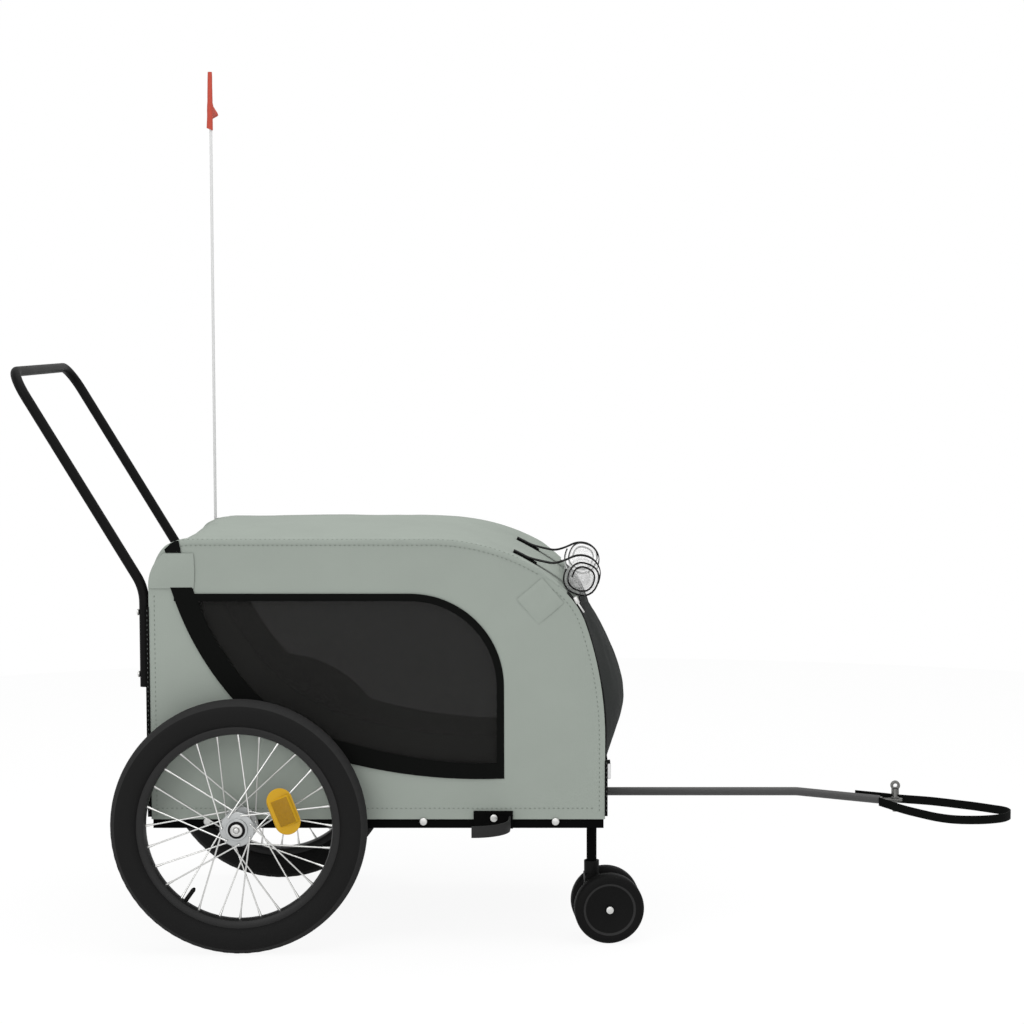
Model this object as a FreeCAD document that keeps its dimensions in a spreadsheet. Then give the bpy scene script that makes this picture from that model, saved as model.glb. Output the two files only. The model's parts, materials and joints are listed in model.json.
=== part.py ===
import FreeCAD, Part
import math
import os
import re
import types

import Sketcher
from FreeCAD import Placement, Rotation, Vector

# A two-wheeled dog bike trailer with a push handle, a front castor and a drawbar.
# +X points forwards, +Y to the trailer's left and +Z up. The ground is at Z = 0.
# Every sub-part is drawn with the wheel axle at X = 0, then seated so that the
# whole trailer is centred on the origin.

SIZES = {
    # running clearances
    "running_gap": 0.05,
    "seat_gap": 0.02,
    "lie_gap": 0.3,
    "seam_gap": 0.1,
    "overrun": 5.0,
    # road wheels
    "wheel_gap": 40.0,
    "tyre_diameter": 400.0,
    "tyre_width": 44.0,
    "tyre_wall": 3.5,
    "inner_tube_wall": 1.2,
    "bead_slot": 12.0,
    "rim_bead": 3.0,
    "rim_depth": 13.5,
    "rim_width": 27.0,
    "rim_wall": 2.0,
    "rim_channel": 9.0,
    "spoke_diameter": 1.8,
    "spoke_lean": 60.0,
    "spoke_circle": 48.0,
    "spoke_rim_spread": 3.0,
    "spoke_head_rise": 1.8,
    "flange_diameter": 54.0,
    "flange_thickness": 3.0,
    "flange_spacing": 46.0,
    "hub_diameter": 34.0,
    "hub_end_length": 5.7,
    "hub_bore": 18.0,
    "bearing_diameter": 28.0,
    "bearing_width": 8.0,
    "axle_diameter": 12.0,
    "axle_reach": 70.0,
    "axle_head_diameter": 19.0,
    "axle_head_thickness": 4.0,
    "button_diameter": 9.0,
    "button_length": 11.0,
    "button_proud": 3.0,
    "button_travel": 3.0,
    "reflector_length": 75.0,
    "reflector_width": 40.0,
    "reflector_thickness": 6.0,
    "reflector_radius": 76.0,
    "reflector_angle": 20.8,
    "valve_diameter": 7.0,
    "valve_length": 22.0,
    "valve_angle": 234.2,
    # fabric body
    "body_width": 460.0,
    "body_length": 714.0,
    "body_rear": 143.0,
    "roof_height": 638.5,
    "roof_crown": 21.0,
    "rear_corner": 65.0,
    "brow_radius": 330.0,
    "brow_turn": 37.0,
    "nose_radius": 125.0,
    "nose_turn": 71.0,
    "chest_radius": 560.0,
    "fabric_thickness": 2.0,
    "hem_lap": 7.5,
    "roof_back_lap": 33.0,
    "mesh_thickness": 1.0,
    "window_rear": 103.0,
    "window_set_back": 160.0,
    "window_bottom": 270.0,
    "window_drop": 79.5,
    "window_corner": 145.0,
    "window_lap_width": 10.0,
    "tab_side": 50.0,
    "tab_drop": 89.5,
    "tab_back": 101.3,
    "tab_turn": 40.6,
    "tab_thickness": 1.0,
    "rear_tab_depth": 71.0,
    "rear_tab_height": 69.0,
    "pocket_width": 320.0,
    "pocket_low": 330.0,
    "pocket_high": 415.0,
    "pocket_depth": 8.0,
    # front door and rolled rain cover
    "door_width": 380.0,
    "door_bottom": 276.0,
    "door_drop": 101.5,
    "door_gap": 2.5,
    "door_bulge": 30.0,
    "door_thickness": 3.0,
    "roll_radius": 28.0,
    "roll_length": 360.0,
    "roll_sheet": 1.2,
    "roll_pitch": 6.4,
    "roll_core": 12.8,
    "roll_turn": 45.0,
    "strap_spacing": 236.0,
    "strap_width": 24.0,
    "strap_thickness": 1.5,
    "strap_tail": 75.0,
    # base frame and hoops
    "rail_size": 22.0,
    "rail_wall": 1.5,
    "middle_bar_back": 286.0,
    "fore_bar_back": 78.0,
    "front_bar_back": 21.0,
    "floor_thickness": 4.0,
    "floor_lap": 4.0,
    "frame_tube": 16.0,
    "tube_wall": 1.2,
    "rear_bow_in": 73.0,
    "front_bow_back": 63.9,
    "bow_rise": 13.0,
    "bracket_length": 140.0,
    "bracket_thickness": 4.0,
    "bracket_bolt": 55.0,
    "receiver_diameter": 18.0,
    "receiver_depth": 36.0,
    "hub_gap": 0.6,
    "bolt_diameter": 6.0,
    "bolt_head": 12.0,
    "bolt_head_height": 3.0,
    "bolt_reach": 30.0,
    # push handle
    "handle_spread": 440.0,
    "handle_tube": 16.0,
    "handle_wall": 1.5,
    "handle_rise": 267.5,
    "handle_foot_drop": 225.5,
    "handle_bend_drop": 70.5,
    "handle_lean": 31.0,
    "handle_bend_radius": 80.0,
    "handle_corner": 45.0,
    "handle_bolt_low_drop": 205.8,
    "handle_bolt_high_drop": 108.0,
    "handle_bolt": 5.0,
    "handle_bolt_head": 10.0,
    # wheel bumpers
    "bumper_set_back": 207.0,
    "bumper_length": 62.0,
    "bumper_plate_height": 28.0,
    "bumper_bolt_in": 32.0,
    "bumper_bolt_rise": 6.0,
    "bumper_height": 18.0,
    "bumper_thickness": 3.0,
    "bumper_radius": 54.0,
    "bumper_out": 85.0,
    # castor
    "castor_offset": 177.0,
    "castor_trail": 25.0,
    "castor_swivel": 5.2,
    "castor_leg": 16.0,
    "castor_leg_wall": 2.0,
    "castor_wheel": 111.0,
    "castor_wheel_width": 30.0,
    "castor_tread": 5.0,
    "castor_dish": 2.0,
    "castor_dish_diameter": 66.0,
    "castor_boss": 26.0,
    "castor_web": 28.0,
    "castor_hood": 84.0,
    "castor_collar": 24.0,
    "castor_collar_top": 127.0,
    "castor_socket": 20.0,
    "castor_axle": 8.0,
    "castor_screw": 12.0,
    "castor_screw_height": 3.0,
    # drawbar, hitch and safety strap
    "drawbar_y": 25.0,
    "drawbar_tube": 14.0,
    "drawbar_wall": 1.5,
    "drawbar_straight": 324.0,
    "drawbar_slant": 139.0,
    "drawbar_drop": 14.0,
    "drawbar_radius": 60.0,
    "tongue_length": 38.0,
    "tongue_width": 16.0,
    "tongue_thickness": 4.0,
    "tongue_stub": 20.0,
    "pin_ahead": 26.0,
    "pin_diameter": 8.0,
    "pin_shoulder": 10.0,
    "pin_below": 18.0,
    "pin_above": 14.0,
    "pin_collar": 13.0,
    "pin_collar_height": 2.0,
    "pin_eye": 16.0,
    "pin_eye_hole": 7.0,
    "pin_eye_thickness": 5.0,
    "safety_width": 15.0,
    "safety_thickness": 2.0,
    "safety_length": 212.0,
    "safety_near": 72.0,
    "safety_far": 34.0,
    "safety_slope": 6.3,
    # safety flag
    "flag_x": 105.0,
    "flag_out": 10.0,
    "pole_diameter": 5.0,
    "pole_top": 1413.0,
    "socket_diameter": 10.0,
    "socket_height": 50.0,
    "socket_floor": 4.0,
    "socket_plate": 2.8,
    "pennant_height": 98.0,
    "pennant_length": 88.0,
    "pennant_thickness": 1.2,
    "pennant_sleeve": 8.0,
}
SPOKES = 28
SEATING_STEPS = 12
SIDES = {"right": -1, "left": 1}
# Lower edge of the window as shares of its width and height, from front to rear
SILL_SHARES = ((0.794, 0.007), (0.5175, 0.09), (0.337, 0.207), (0.181, 0.429), (0.076, 0.692))

doc = FreeCAD.newDocument("dog_bike_trailer")
sheet = doc.addObject("Spreadsheet::Sheet", "sizes")
for row, (alias, value) in enumerate(SIZES.items(), start=1):
    sheet.set(f"A{row}", alias)
    sheet.set(f"B{row}", str(value))
    sheet.setAlias(f"B{row}", alias)
doc.recompute()
d = types.SimpleNamespace(**{alias: float(sheet.get(alias)) for alias in SIZES})
nodes = {}

# Places worked out from the driving sizes
axle_z = d.tyre_diameter / 2
rail_top = axle_z + d.rail_size / 2
hem_z = rail_top - d.hem_lap
side = d.body_width / 2
side_in = side - d.fabric_thickness
rail_out = side_in - d.lie_gap
rail_in = rail_out - d.rail_size
body_front = d.body_length - d.body_rear
brow, nose = math.radians(d.brow_turn), math.radians(d.nose_turn)
roof_front = (body_front - d.brow_radius * math.sin(brow) - d.chest_radius * (1 - math.sin(nose))
              - d.nose_radius * (math.sin(nose) - math.sin(brow)))
rim_radius = d.tyre_diameter / 2 - d.tyre_width + d.rim_bead
window_top, window_front = d.roof_height - d.window_drop, body_front - d.window_set_back
bumper_back = body_front - d.bumper_set_back
door_top = d.roof_height - d.door_drop
handle_top, handle_bend = d.roof_height + d.handle_rise, d.roof_height - d.handle_bend_drop
handle_foot = d.roof_height - d.handle_foot_drop
fore_bar, front_bar = body_front - d.fore_bar_back, body_front - d.front_bar_back
drawbar_bend = body_front + d.drawbar_straight
drawbar_end = drawbar_bend + d.drawbar_slant
pin_x, safety_tip = drawbar_end + d.pin_ahead, drawbar_end + d.safety_length
tube_inset = d.fabric_thickness + d.lie_gap + d.frame_tube / 2
hoop_y = side_in - 2 * d.lie_gap - d.mesh_thickness - d.frame_tube / 2
handle_x = -(d.body_rear + d.lie_gap + d.handle_tube / 2)
handle_back = handle_x - (handle_top - handle_bend) * math.tan(math.radians(d.handle_lean))
axle_x = -(safety_tip + handle_back - d.handle_tube / 2) / 2
track = d.body_width + 2 * d.wheel_gap
hub_length = d.flange_spacing + 2 * d.hub_end_length
hub_end = track / 2 + hub_length / 2
SEAT = Placement(Vector(axle_x, 0, 0), Rotation())


def bound(text):
    """Turn a sum of size names into an expression on the sheet."""
    return re.sub(r"[a-z_]+", lambda m: f"sizes.{m[0]}" if m[0] in SIZES else m[0], text)


def block(name, length, width, height, x, y, z):
    """A box: its sides and its low corner are sums of size names."""
    box = doc.addObject("Part::Box", name)
    places = ("Length", "Width", "Height", "Placement.Base.x", "Placement.Base.y", "Placement.Base.z")
    for place, text in zip(places, (length, width, height, x, y, z)):
        box.setExpression(place, bound(text))
    return box


TURNS = {"X": Rotation(Vector(0, 1, 0), 90), "Y": Rotation(Vector(1, 0, 0), -90), "Z": Rotation()}


def rod(name, axis, radius, length, x, y, z):
    """A cylinder along an axis, from the middle of its first end."""
    cylinder = doc.addObject("Part::Cylinder", name)
    cylinder.Placement = Placement(Vector(), TURNS[axis])
    places = ("Radius", "Height", "Placement.Base.x", "Placement.Base.y", "Placement.Base.z")
    for place, text in zip(places, (radius, length, x, y, z)):
        cylinder.setExpression(place, bound(text))
    return cylinder


def group(name, pieces):
    """Several separate solids kept in one object."""
    compound = doc.addObject("Part::Compound", name)
    compound.Links = pieces
    return compound


def cut(name, base, tools):
    """A solid with one or more others taken out of it."""
    result = doc.addObject("Part::Cut", name)
    result.Base = base
    result.Tool = tools[0] if len(tools) == 1 else group(name + "_tools", tools)
    return result


def fuse(name, pieces):
    """Several solids welded into one."""
    result = doc.addObject("Part::MultiFuse", name)
    result.Shapes = pieces
    return result


def feature(name, shape):
    """A free-form solid, set from the named sizes."""
    result = doc.addObject("Part::Feature", name)
    result.Shape = shape
    return result


def turned(name, corners):
    """A body turned about its own Z axis from (radius, height) corners."""
    body = doc.addObject("PartDesign::Body", name)
    sketch = body.newObject("Sketcher::SketchObject", name + "_profile")
    plane = next(f for f in body.Origin.OriginFeatures if f.Role == "XZ_Plane")
    sketch.AttachmentSupport = [(plane, "")]
    sketch.MapMode = "FlatFace"
    count = len(corners)
    middle, turn = Vector(track, track, 0), 2 * math.pi / count
    ring = [middle + Vector(math.cos(i * turn), math.sin(i * turn), 0) * d.tyre_width for i in range(count)]
    for i in range(count):
        sketch.addGeometry(Part.LineSegment(ring[i], ring[(i + 1) % count]), False)
    for i in range(count):
        sketch.addConstraint(Sketcher.Constraint("Coincident", i, 2, (i + 1) % count, 1))
    for i, texts in enumerate(corners):
        starts = (ring[i].x, ring[i].y)
        for kind, text, axis, start in zip(("DistanceX", "DistanceY"), texts, (-2, -1), starts):
            if text == "0":
                sketch.addConstraint(Sketcher.Constraint("PointOnObject", i, 1, axis))
            else:
                index = sketch.addConstraint(Sketcher.Constraint(kind, -1, 1, i, 1, start))
                sketch.setExpression(f"Constraints[{index}]", bound(text))
    turn = body.newObject("PartDesign::Revolution", name + "_turn")
    turn.Profile = sketch
    turn.ReferenceAxis = (sketch, ["V_Axis"])
    turn.Angle = 360
    return body


def seat(name, piece, placement=Placement()):
    """Name a finished sub-part and put it in the trailer's frame."""
    piece.Label = name
    piece.Placement = SEAT.multiply(placement).multiply(piece.Placement)
    nodes[name] = piece


def rounded(points, radii):
    """A wire through points, with a tangent arc of its own radius at each inner one."""
    edges, start = [], points[0]
    for i, radius in enumerate(radii, start=1):
        corner = points[i]
        back = (points[i - 1] - corner).normalize()
        ahead = (points[i + 1] - corner).normalize()
        half = back.getAngle(ahead) / 2
        reach = radius / math.tan(half)
        first, last = corner + back * reach, corner + ahead * reach
        middle = corner + (back + ahead).normalize() * (radius / math.sin(half) - radius)
        edges += [Part.LineSegment(start, first).toShape(), Part.Arc(first, middle, last).toShape()]
        start = last
    edges.append(Part.LineSegment(start, points[-1]).toShape())
    return Part.Wire(edges)


def bar(wire, radius):
    """A round bar swept along a wire."""
    edge = wire.Edges[0]
    ring = Part.Wire(Part.makeCircle(radius, edge.valueAt(edge.FirstParameter),
                                     edge.tangentAt(edge.FirstParameter)))
    return wire.makePipeShell([ring], True, False)


def tube(wire, diameter, wall):
    """A hollow tube swept along a wire."""
    return bar(wire, diameter / 2).cut(bar(wire, diameter / 2 - wall))


def drill(start, along, diameter):
    """A cylinder for a hole."""
    return Part.makeCylinder(diameter / 2, along.Length, start, along)


def corner_of(radius_in, turn):
    """A point of the front curve, moved inwards, at a turn from level."""
    brow_at = Vector(roof_front, 0, d.roof_height - d.brow_radius)
    out = Vector(math.sin(turn), 0, math.cos(turn))
    at_brow = Vector(math.sin(brow), 0, math.cos(brow))
    at_nose = Vector(math.sin(nose), 0, math.cos(nose))
    nose_at = brow_at + at_brow * (d.brow_radius - d.nose_radius)
    chest_at = nose_at + at_nose * (d.nose_radius - d.chest_radius)
    if turn <= brow:
        return brow_at + out * (d.brow_radius - radius_in)
    if turn <= nose:
        return nose_at + out * (d.nose_radius - radius_in)
    return chest_at + out * (d.chest_radius - radius_in)


def front_arc(inset, start, end):
    """One arc of the front curve between two turns."""
    turns = (start, (start + end) / 2, end)
    return Part.Arc(*[corner_of(inset, turn) for turn in turns]).toShape()


def line(a, b):
    return Part.LineSegment(a, b).toShape()


def hull_edges(inset, low):
    """The body's side outline from the rear foot over the roof to the front foot."""
    rear, top = -d.body_rear + inset, d.roof_height - inset
    radius = d.rear_corner - inset
    bend = Vector(-d.body_rear + d.rear_corner, 0, d.roof_height - d.rear_corner)
    slant = math.sqrt(0.5)
    first, last = Vector(rear, 0, bend.z), Vector(bend.x, 0, top)
    middle = bend + Vector(-slant, 0, slant) * radius
    foot = corner_of(inset, math.pi / 2)
    return [line(Vector(rear, 0, low), first), Part.Arc(first, middle, last).toShape(),
            line(last, corner_of(inset, 0)), front_arc(inset, 0, brow), front_arc(inset, brow, nose),
            front_arc(inset, nose, math.pi / 2), line(foot, Vector(foot.x, 0, low))]


def front_x(z):
    """How far forward the front curve lies at a height."""
    low, high = 0.0, math.pi / 2
    for _ in range(60):
        middle = (low + high) / 2
        if corner_of(0, middle).z > z:
            low = middle
        else:
            high = middle
    return corner_of(0, high).x


def window_wire():
    """The side window: level top, round front corner, square sill corner and a sweeping sill."""
    width, height = d.window_rear + window_front, window_top - d.window_bottom
    sill = [Vector(u * width - d.window_rear, 0, d.window_bottom + v * height) for u, v in SILL_SHARES]
    rear = Vector(-d.window_rear, 0, window_top)
    low = Vector(window_front, 0, d.window_bottom)
    bend = Vector(window_front - d.window_corner, 0, window_top - d.window_corner)
    slant = d.window_corner * math.sqrt(0.5)
    top = bend + Vector(0, 0, d.window_corner)
    front = bend + Vector(d.window_corner, 0, 0)
    return Part.Wire([line(rear, top), Part.Arc(top, bend + Vector(slant, 0, slant), front).toShape(),
                      line(front, low), Part.Arc(low, sill[0], sill[1]).toShape(),
                      Part.Arc(sill[1], sill[2], sill[3]).toShape(),
                      Part.Arc(sill[3], sill[4], rear).toShape()])


# Base frame: two rails, five crossbars and the floor
def square_tube(name, axis, length, x, y, z):
    """A square tube from its low corner; its ends are open."""
    wide = {"X": (length, "rail_size", "rail_size"), "Y": ("rail_size", length, "rail_size")}[axis]
    bore = [text if text == length else "rail_size - 2 * rail_wall" for text in wide]
    shift = [text if w == length else f"{text} + rail_wall" for text, w in zip((x, y, z), wide)]
    return cut(name, block(name + "_outer", *wide, x, y, z), [block(name + "_bore", *bore, *shift)])


RAIL_LOW = "tyre_diameter / 2 - rail_size / 2"
RAIL_REAR = "fabric_thickness + lie_gap - body_rear"
RAIL_LENGTH = "body_length - 2 * fabric_thickness - 2 * lie_gap"
RAIL_OUT = "body_width / 2 - fabric_thickness - lie_gap"
BOLT_HOLE = "bolt_diameter / 2 + running_gap"
FORE_BAR = "(body_length - body_rear - fore_bar_back)"
FRONT_BAR = "(body_length - body_rear - front_bar_back)"
MIDDLE_BAR = "(body_length - body_rear - middle_bar_back)"
BUMPER_BOLT = "body_length - body_rear - bumper_set_back + bumper_bolt_in"
BOLT_XS = ("0 - bracket_bolt", "bracket_bolt", MIDDLE_BAR, FORE_BAR)
for hand, sign in SIDES.items():
    low_y = f"0 - ({RAIL_OUT})" if sign < 0 else f"{RAIL_OUT} - rail_size"
    name = f"rail_{hand}"
    plain = square_tube(name + "_tube", "X", RAIL_LENGTH, RAIL_REAR, low_y, RAIL_LOW)
    holes = [(BOLT_HOLE, x, "tyre_diameter / 2") for x in BOLT_XS]
    holes.append((BOLT_HOLE, BUMPER_BOLT, "tyre_diameter / 2 + bumper_bolt_rise"))
    holes.append(("receiver_diameter / 2 + running_gap", "0", "tyre_diameter / 2"))
    drills = [rod(f"{name}_hole_{i}", "Y", radius, "rail_size + 2 * overrun", x, f"{low_y} - overrun", z)
              for i, (radius, x, z) in enumerate(holes)]
    seat(name, cut(name, plain, drills))

BAR_LENGTH = f"2 * ({RAIL_OUT} - rail_size)"
BAR_LOW_Y = f"0 - ({RAIL_OUT} - rail_size)"
bars = []
for name, middle in (("rear_bar", f"{RAIL_REAR} + rail_size / 2"), ("middle_bar", MIDDLE_BAR),
                     ("fore_bar_tube", FORE_BAR), ("front_bar_tube", FRONT_BAR)):
    bars.append(square_tube(name, "Y", BAR_LENGTH, f"{middle} - rail_size / 2", BAR_LOW_Y, RAIL_LOW))
bars.append(square_tube("axle_bar_tube", "Y", f"{BAR_LENGTH} - 2 * bracket_thickness", "0 - rail_size / 2",
                        f"{BAR_LOW_Y} + bracket_thickness", RAIL_LOW))


def drawbar_drills(name, bar_x):
    """Holes in a crossbar for the drawbar and for the bolt that holds it."""
    return [rod(f"drawbar_hole_{name}", "X", "drawbar_tube / 2 + running_gap", "rail_size + 2 * overrun",
                f"{bar_x} - rail_size / 2 - overrun", "drawbar_y", "tyre_diameter / 2"),
            rod(f"drawbar_bolt_hole_{name}", "Z", BOLT_HOLE, "rail_size / 2 + overrun", bar_x, "drawbar_y",
                f"{RAIL_LOW} - overrun")]


castor_drill = rod("castor_hole", "Z", "castor_leg / 2 + running_gap", "rail_size + 2 * overrun", FRONT_BAR,
                   "0 - castor_offset", f"{RAIL_LOW} - overrun")
drilled = [cut("fore_bar_drilled", bars[2], drawbar_drills("fore", FORE_BAR)),
           cut("front_bar_drilled", bars[3], drawbar_drills("front", FRONT_BAR) + [castor_drill])]
seat("floor_crossbars", group("floor_crossbars", [bars[0], bars[1], bars[4]] + drilled))

FLOOR_REACH = f"{RAIL_OUT} - rail_size + floor_lap"
floor = block("floor_board", f"{RAIL_LENGTH} - 2 * lie_gap", f"2 * ({FLOOR_REACH})", "floor_thickness",
              f"{RAIL_REAR} + lie_gap", f"0 - ({FLOOR_REACH})", "tyre_diameter / 2 + rail_size / 2")
seat("floor_panel", group("floor_panel", [floor]))

# Side hoops inside the fabric, with the roof bows between them
handle_bolt_zs = [d.roof_height - drop for drop in (d.handle_bolt_low_drop, d.handle_bolt_high_drop)]


def handle_drills(sign, diameter):
    """Holes along X for the two bolts of one handle leg."""
    start = handle_x - d.handle_tube / 2 - d.overrun
    reach = Vector(d.handle_tube + d.fabric_thickness + d.frame_tube / 2 + d.overrun, 0, 0)
    return [drill(Vector(start, sign * d.handle_spread / 2, z), reach, diameter) for z in handle_bolt_zs]


for hand, sign in SIDES.items():
    path = Part.Wire(hull_edges(tube_inset, rail_top))
    path.translate(Vector(0, sign * hoop_y, 0))
    hoop = tube(path, d.frame_tube, d.tube_wall)
    for hole in handle_drills(sign, d.handle_bolt + 2 * d.running_gap):
        hoop = hoop.cut(hole)
    seat(f"side_hoop_{hand}", feature(f"side_hoop_{hand}", hoop))


def roof_bow(x, z, rise):
    """A bow between the hoops, arched by its rise."""
    reach = hoop_y - d.frame_tube / 2 - d.lie_gap
    arch = Part.Arc(Vector(x, -reach, z), Vector(x, 0, z + rise), Vector(x, reach, z)).toShape()
    return tube(Part.Wire(arch), d.frame_tube, d.tube_wall)


bow_z = d.roof_height - tube_inset
brow_foot = corner_of(tube_inset, brow)
bows = [roof_bow(x, bow_z, d.bow_rise) for x in (d.rear_bow_in - d.body_rear, roof_front - d.front_bow_back)]
brow_reach = hoop_y - d.frame_tube / 2 - d.lie_gap
brow_wire = Part.Wire(line(brow_foot - Vector(0, brow_reach, 0), brow_foot + Vector(0, brow_reach, 0)))
bows.append(tube(brow_wire, d.frame_tube, d.tube_wall))
seat("roof_bows", feature("roof_bows", Part.makeCompound(bows)))

# Fabric: side panels with their window mesh, roof, rear, front and pocket
outline = hull_edges(0, hem_z)
hem = line(outline[-1].lastVertex().Point, outline[0].firstVertex().Point)
outline_face = Part.Face(Part.Wire(outline + [hem]))
for hand, sign in SIDES.items():
    low_y = -side if sign < 0 else side_in
    panel = outline_face.extrude(Vector(0, d.fabric_thickness, 0))
    hole = Part.Face(window_wire()).extrude(Vector(0, d.fabric_thickness, 0))
    bolt_at = Vector(bumper_back + d.bumper_bolt_in, 0, axle_z + d.bumper_bolt_rise)
    bolt = drill(bolt_at, Vector(0, d.fabric_thickness, 0), d.bolt_diameter + 2 * d.lie_gap)
    notch = drill(Vector(0, 0, axle_z), Vector(0, d.fabric_thickness, 0), d.receiver_diameter + 2 * d.lie_gap)
    panel = panel.cut([hole, bolt, notch])
    panel.translate(Vector(0, low_y, 0))
    seat(f"side_panel_{hand}", feature(f"side_panel_{hand}", panel))
    mesh = Part.Face(window_wire().makeOffset2D(d.window_lap_width)).extrude(Vector(0, d.mesh_thickness, 0))
    mesh.translate(Vector(0, sign * (side_in - d.lie_gap) - (d.mesh_thickness if sign > 0 else 0), 0))
    seat(f"window_mesh_{hand}", feature(f"window_mesh_{hand}", mesh))


def roof_section(y, reach):
    """The roof's closed section at one place across its width, highest in the middle."""
    rise = d.roof_crown * (1 - (y / reach) ** 2)
    top = d.roof_height + rise
    end = corner_of(0, brow)
    radius = (top - end.z) / (1 - math.cos(brow))
    centre = Vector(end.x - radius * math.sin(brow), 0, top - radius)
    bend = Vector(-d.body_rear + d.rear_corner, 0, top - d.rear_corner)
    low = d.roof_height - d.rear_corner - d.roof_back_lap
    slant = math.sqrt(0.5)

    def skin(inset):
        rear = -d.body_rear + inset
        ring = d.rear_corner - inset
        arc = [centre + Vector(math.sin(t), 0, math.cos(t)) * (radius - inset) for t in (0, brow / 2, brow)]
        first, last = Vector(rear, 0, bend.z), Vector(bend.x, 0, bend.z + ring)
        return [line(Vector(rear, 0, low), first),
                Part.Arc(first, bend + Vector(-slant, 0, slant) * ring, last).toShape(),
                line(last, arc[0]), Part.Arc(*arc).toShape()]

    outer, inner = skin(0), skin(d.fabric_thickness)
    front = line(outer[-1].lastVertex().Point, inner[-1].lastVertex().Point)
    rear = line(inner[0].firstVertex().Point, outer[0].firstVertex().Point)
    section = Part.Wire(Part.__sortEdges__(outer + [front] + inner + [rear]))
    section.translate(Vector(0, y, 0))
    return section


roof_reach = side_in - d.seam_gap
ROOF_SHARES = (-1, -0.6, -0.25, 0.25, 0.6, 1)
roof = Part.makeLoft([roof_section(share * roof_reach, roof_reach) for share in ROOF_SHARES], True, False)
seat("roof_panel", feature("roof_panel", roof))

rear_top = d.roof_height - d.rear_corner - d.roof_back_lap - d.lie_gap
rear = Part.makeBox(d.fabric_thickness, 2 * roof_reach, rear_top - hem_z,
                    Vector(-d.body_rear, -roof_reach, hem_z))
for sign in SIDES.values():
    for hole in handle_drills(sign, d.handle_bolt + 2 * d.lie_gap):
        rear = rear.cut(hole)
seat("rear_panel", feature("rear_panel", rear))

pocket_size = Vector(d.pocket_depth, d.pocket_width, d.pocket_high - d.pocket_low)
pocket = Part.makeBox(*pocket_size, Vector(-d.body_rear - d.lie_gap - d.pocket_depth, -d.pocket_width / 2,
                                           d.pocket_low))
back_edges = [e for e in pocket.Edges if e.BoundBox.XMax < -d.body_rear - d.pocket_depth]
pocket_round_share = 0.8
pocket = pocket.makeFillet(pocket_round_share * d.pocket_depth, back_edges)
seat("rear_pocket", feature("rear_pocket", pocket))


def front_skin(outer, inner, start):
    """A sheet down the front curve from a turn to the hem, between two insets."""
    edges = []
    for inset in (outer, inner):
        foot = corner_of(inset, math.pi / 2)
        edges += [front_arc(inset, start, nose), front_arc(inset, nose, math.pi / 2),
                  line(foot, Vector(foot.x, 0, hem_z))]
    edges += [line(corner_of(outer, start), corner_of(inner, start)),
              line(edges[2].lastVertex().Point, edges[5].lastVertex().Point)]
    return Part.Face(Part.Wire(Part.__sortEdges__(edges)))


front_start = brow + d.lie_gap / d.nose_radius
front = front_skin(0, d.fabric_thickness, front_start).extrude(Vector(0, 2 * roof_reach, 0))
front.translate(Vector(0, -roof_reach, 0))
doorway = Part.makeBox(body_front, d.door_width, door_top - d.door_bottom,
                       Vector(d.body_rear, -d.door_width / 2, d.door_bottom))
notch = drill(Vector(front_bar, d.drawbar_y, axle_z), Vector(body_front - front_bar + d.overrun, 0, 0),
              d.drawbar_tube + 2 * d.lie_gap)
seat("front_panel", feature("front_panel", front.cut([doorway, notch])))


def door_section(y, reach):
    """The door's closed section at one place across its width, fullest in the middle."""
    low, high = d.door_bottom + d.door_gap, door_top - d.lie_gap
    full_share = 0.4
    full = low + full_share * (high - low)
    swell = d.door_bulge * (1 - (y / reach) ** 2)
    outer = [Vector(front_x(z) + s, y, z) for z, s in ((high, 0), (full, swell), (low, 0))]
    inner = [p - Vector(d.door_thickness, 0, 0) for p in outer]
    return Part.Wire([Part.Arc(*outer).toShape(), line(outer[2], inner[2]),
                      Part.Arc(*reversed(inner)).toShape(), line(inner[0], outer[0])])


door_reach = d.door_width / 2 - d.door_gap
DOOR_SHARES = (-1, -0.6, -0.2, 0.2, 0.6, 1)
door = Part.makeLoft([door_section(share * door_reach, door_reach) for share in DOOR_SHARES], True, False)
seat("front_door", feature("front_door", door))

# Corner tabs outside the side panels
tabs = []
for sign in SIDES.values():
    low_y = side + d.running_gap if sign > 0 else -side - d.running_gap - d.tab_thickness
    rear_tab = Part.makeBox(d.rear_tab_depth, d.tab_thickness, d.rear_tab_height,
                            Vector(-d.body_rear, low_y, d.roof_height - d.rear_tab_height))
    skin = outline_face.extrude(Vector(0, d.tab_thickness, 0))
    skin.translate(Vector(0, low_y, 0))
    tabs.append(rear_tab.common(skin).Solids[0])
    front_tab = Part.makeBox(d.tab_side, d.tab_thickness, d.tab_side,
                             Vector(-d.tab_side / 2, 0, -d.tab_side / 2))
    tab_at = Vector(body_front - d.tab_back, low_y, d.roof_height - d.tab_drop)
    front_tab.Placement = Placement(tab_at, Rotation(Vector(0, 1, 0), d.tab_turn))
    tabs.append(front_tab)
seat("corner_tabs", feature("corner_tabs", Part.makeCompound(tabs)))

# Rolled rain cover on the brow, with its two straps
roll_turn = math.radians(d.roll_turn)
roll_at = corner_of(-d.roll_radius - d.strap_thickness - 2 * d.lie_gap, roll_turn)


def spiral(shift):
    """Half turns that wind inwards, moved in by a shift."""
    edges, radius, centre, way = [], d.roll_radius, roll_at, 1
    while radius > d.roll_core:
        ring = radius - shift
        span = Vector(way * ring, 0, 0)
        edges.append(Part.Arc(centre + span, centre + Vector(0, 0, way * ring), centre - span).toShape())
        radius -= d.roll_pitch / 2
        centre = centre - Vector(way * d.roll_pitch / 2, 0, 0)
        way = -way
    return edges


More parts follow.
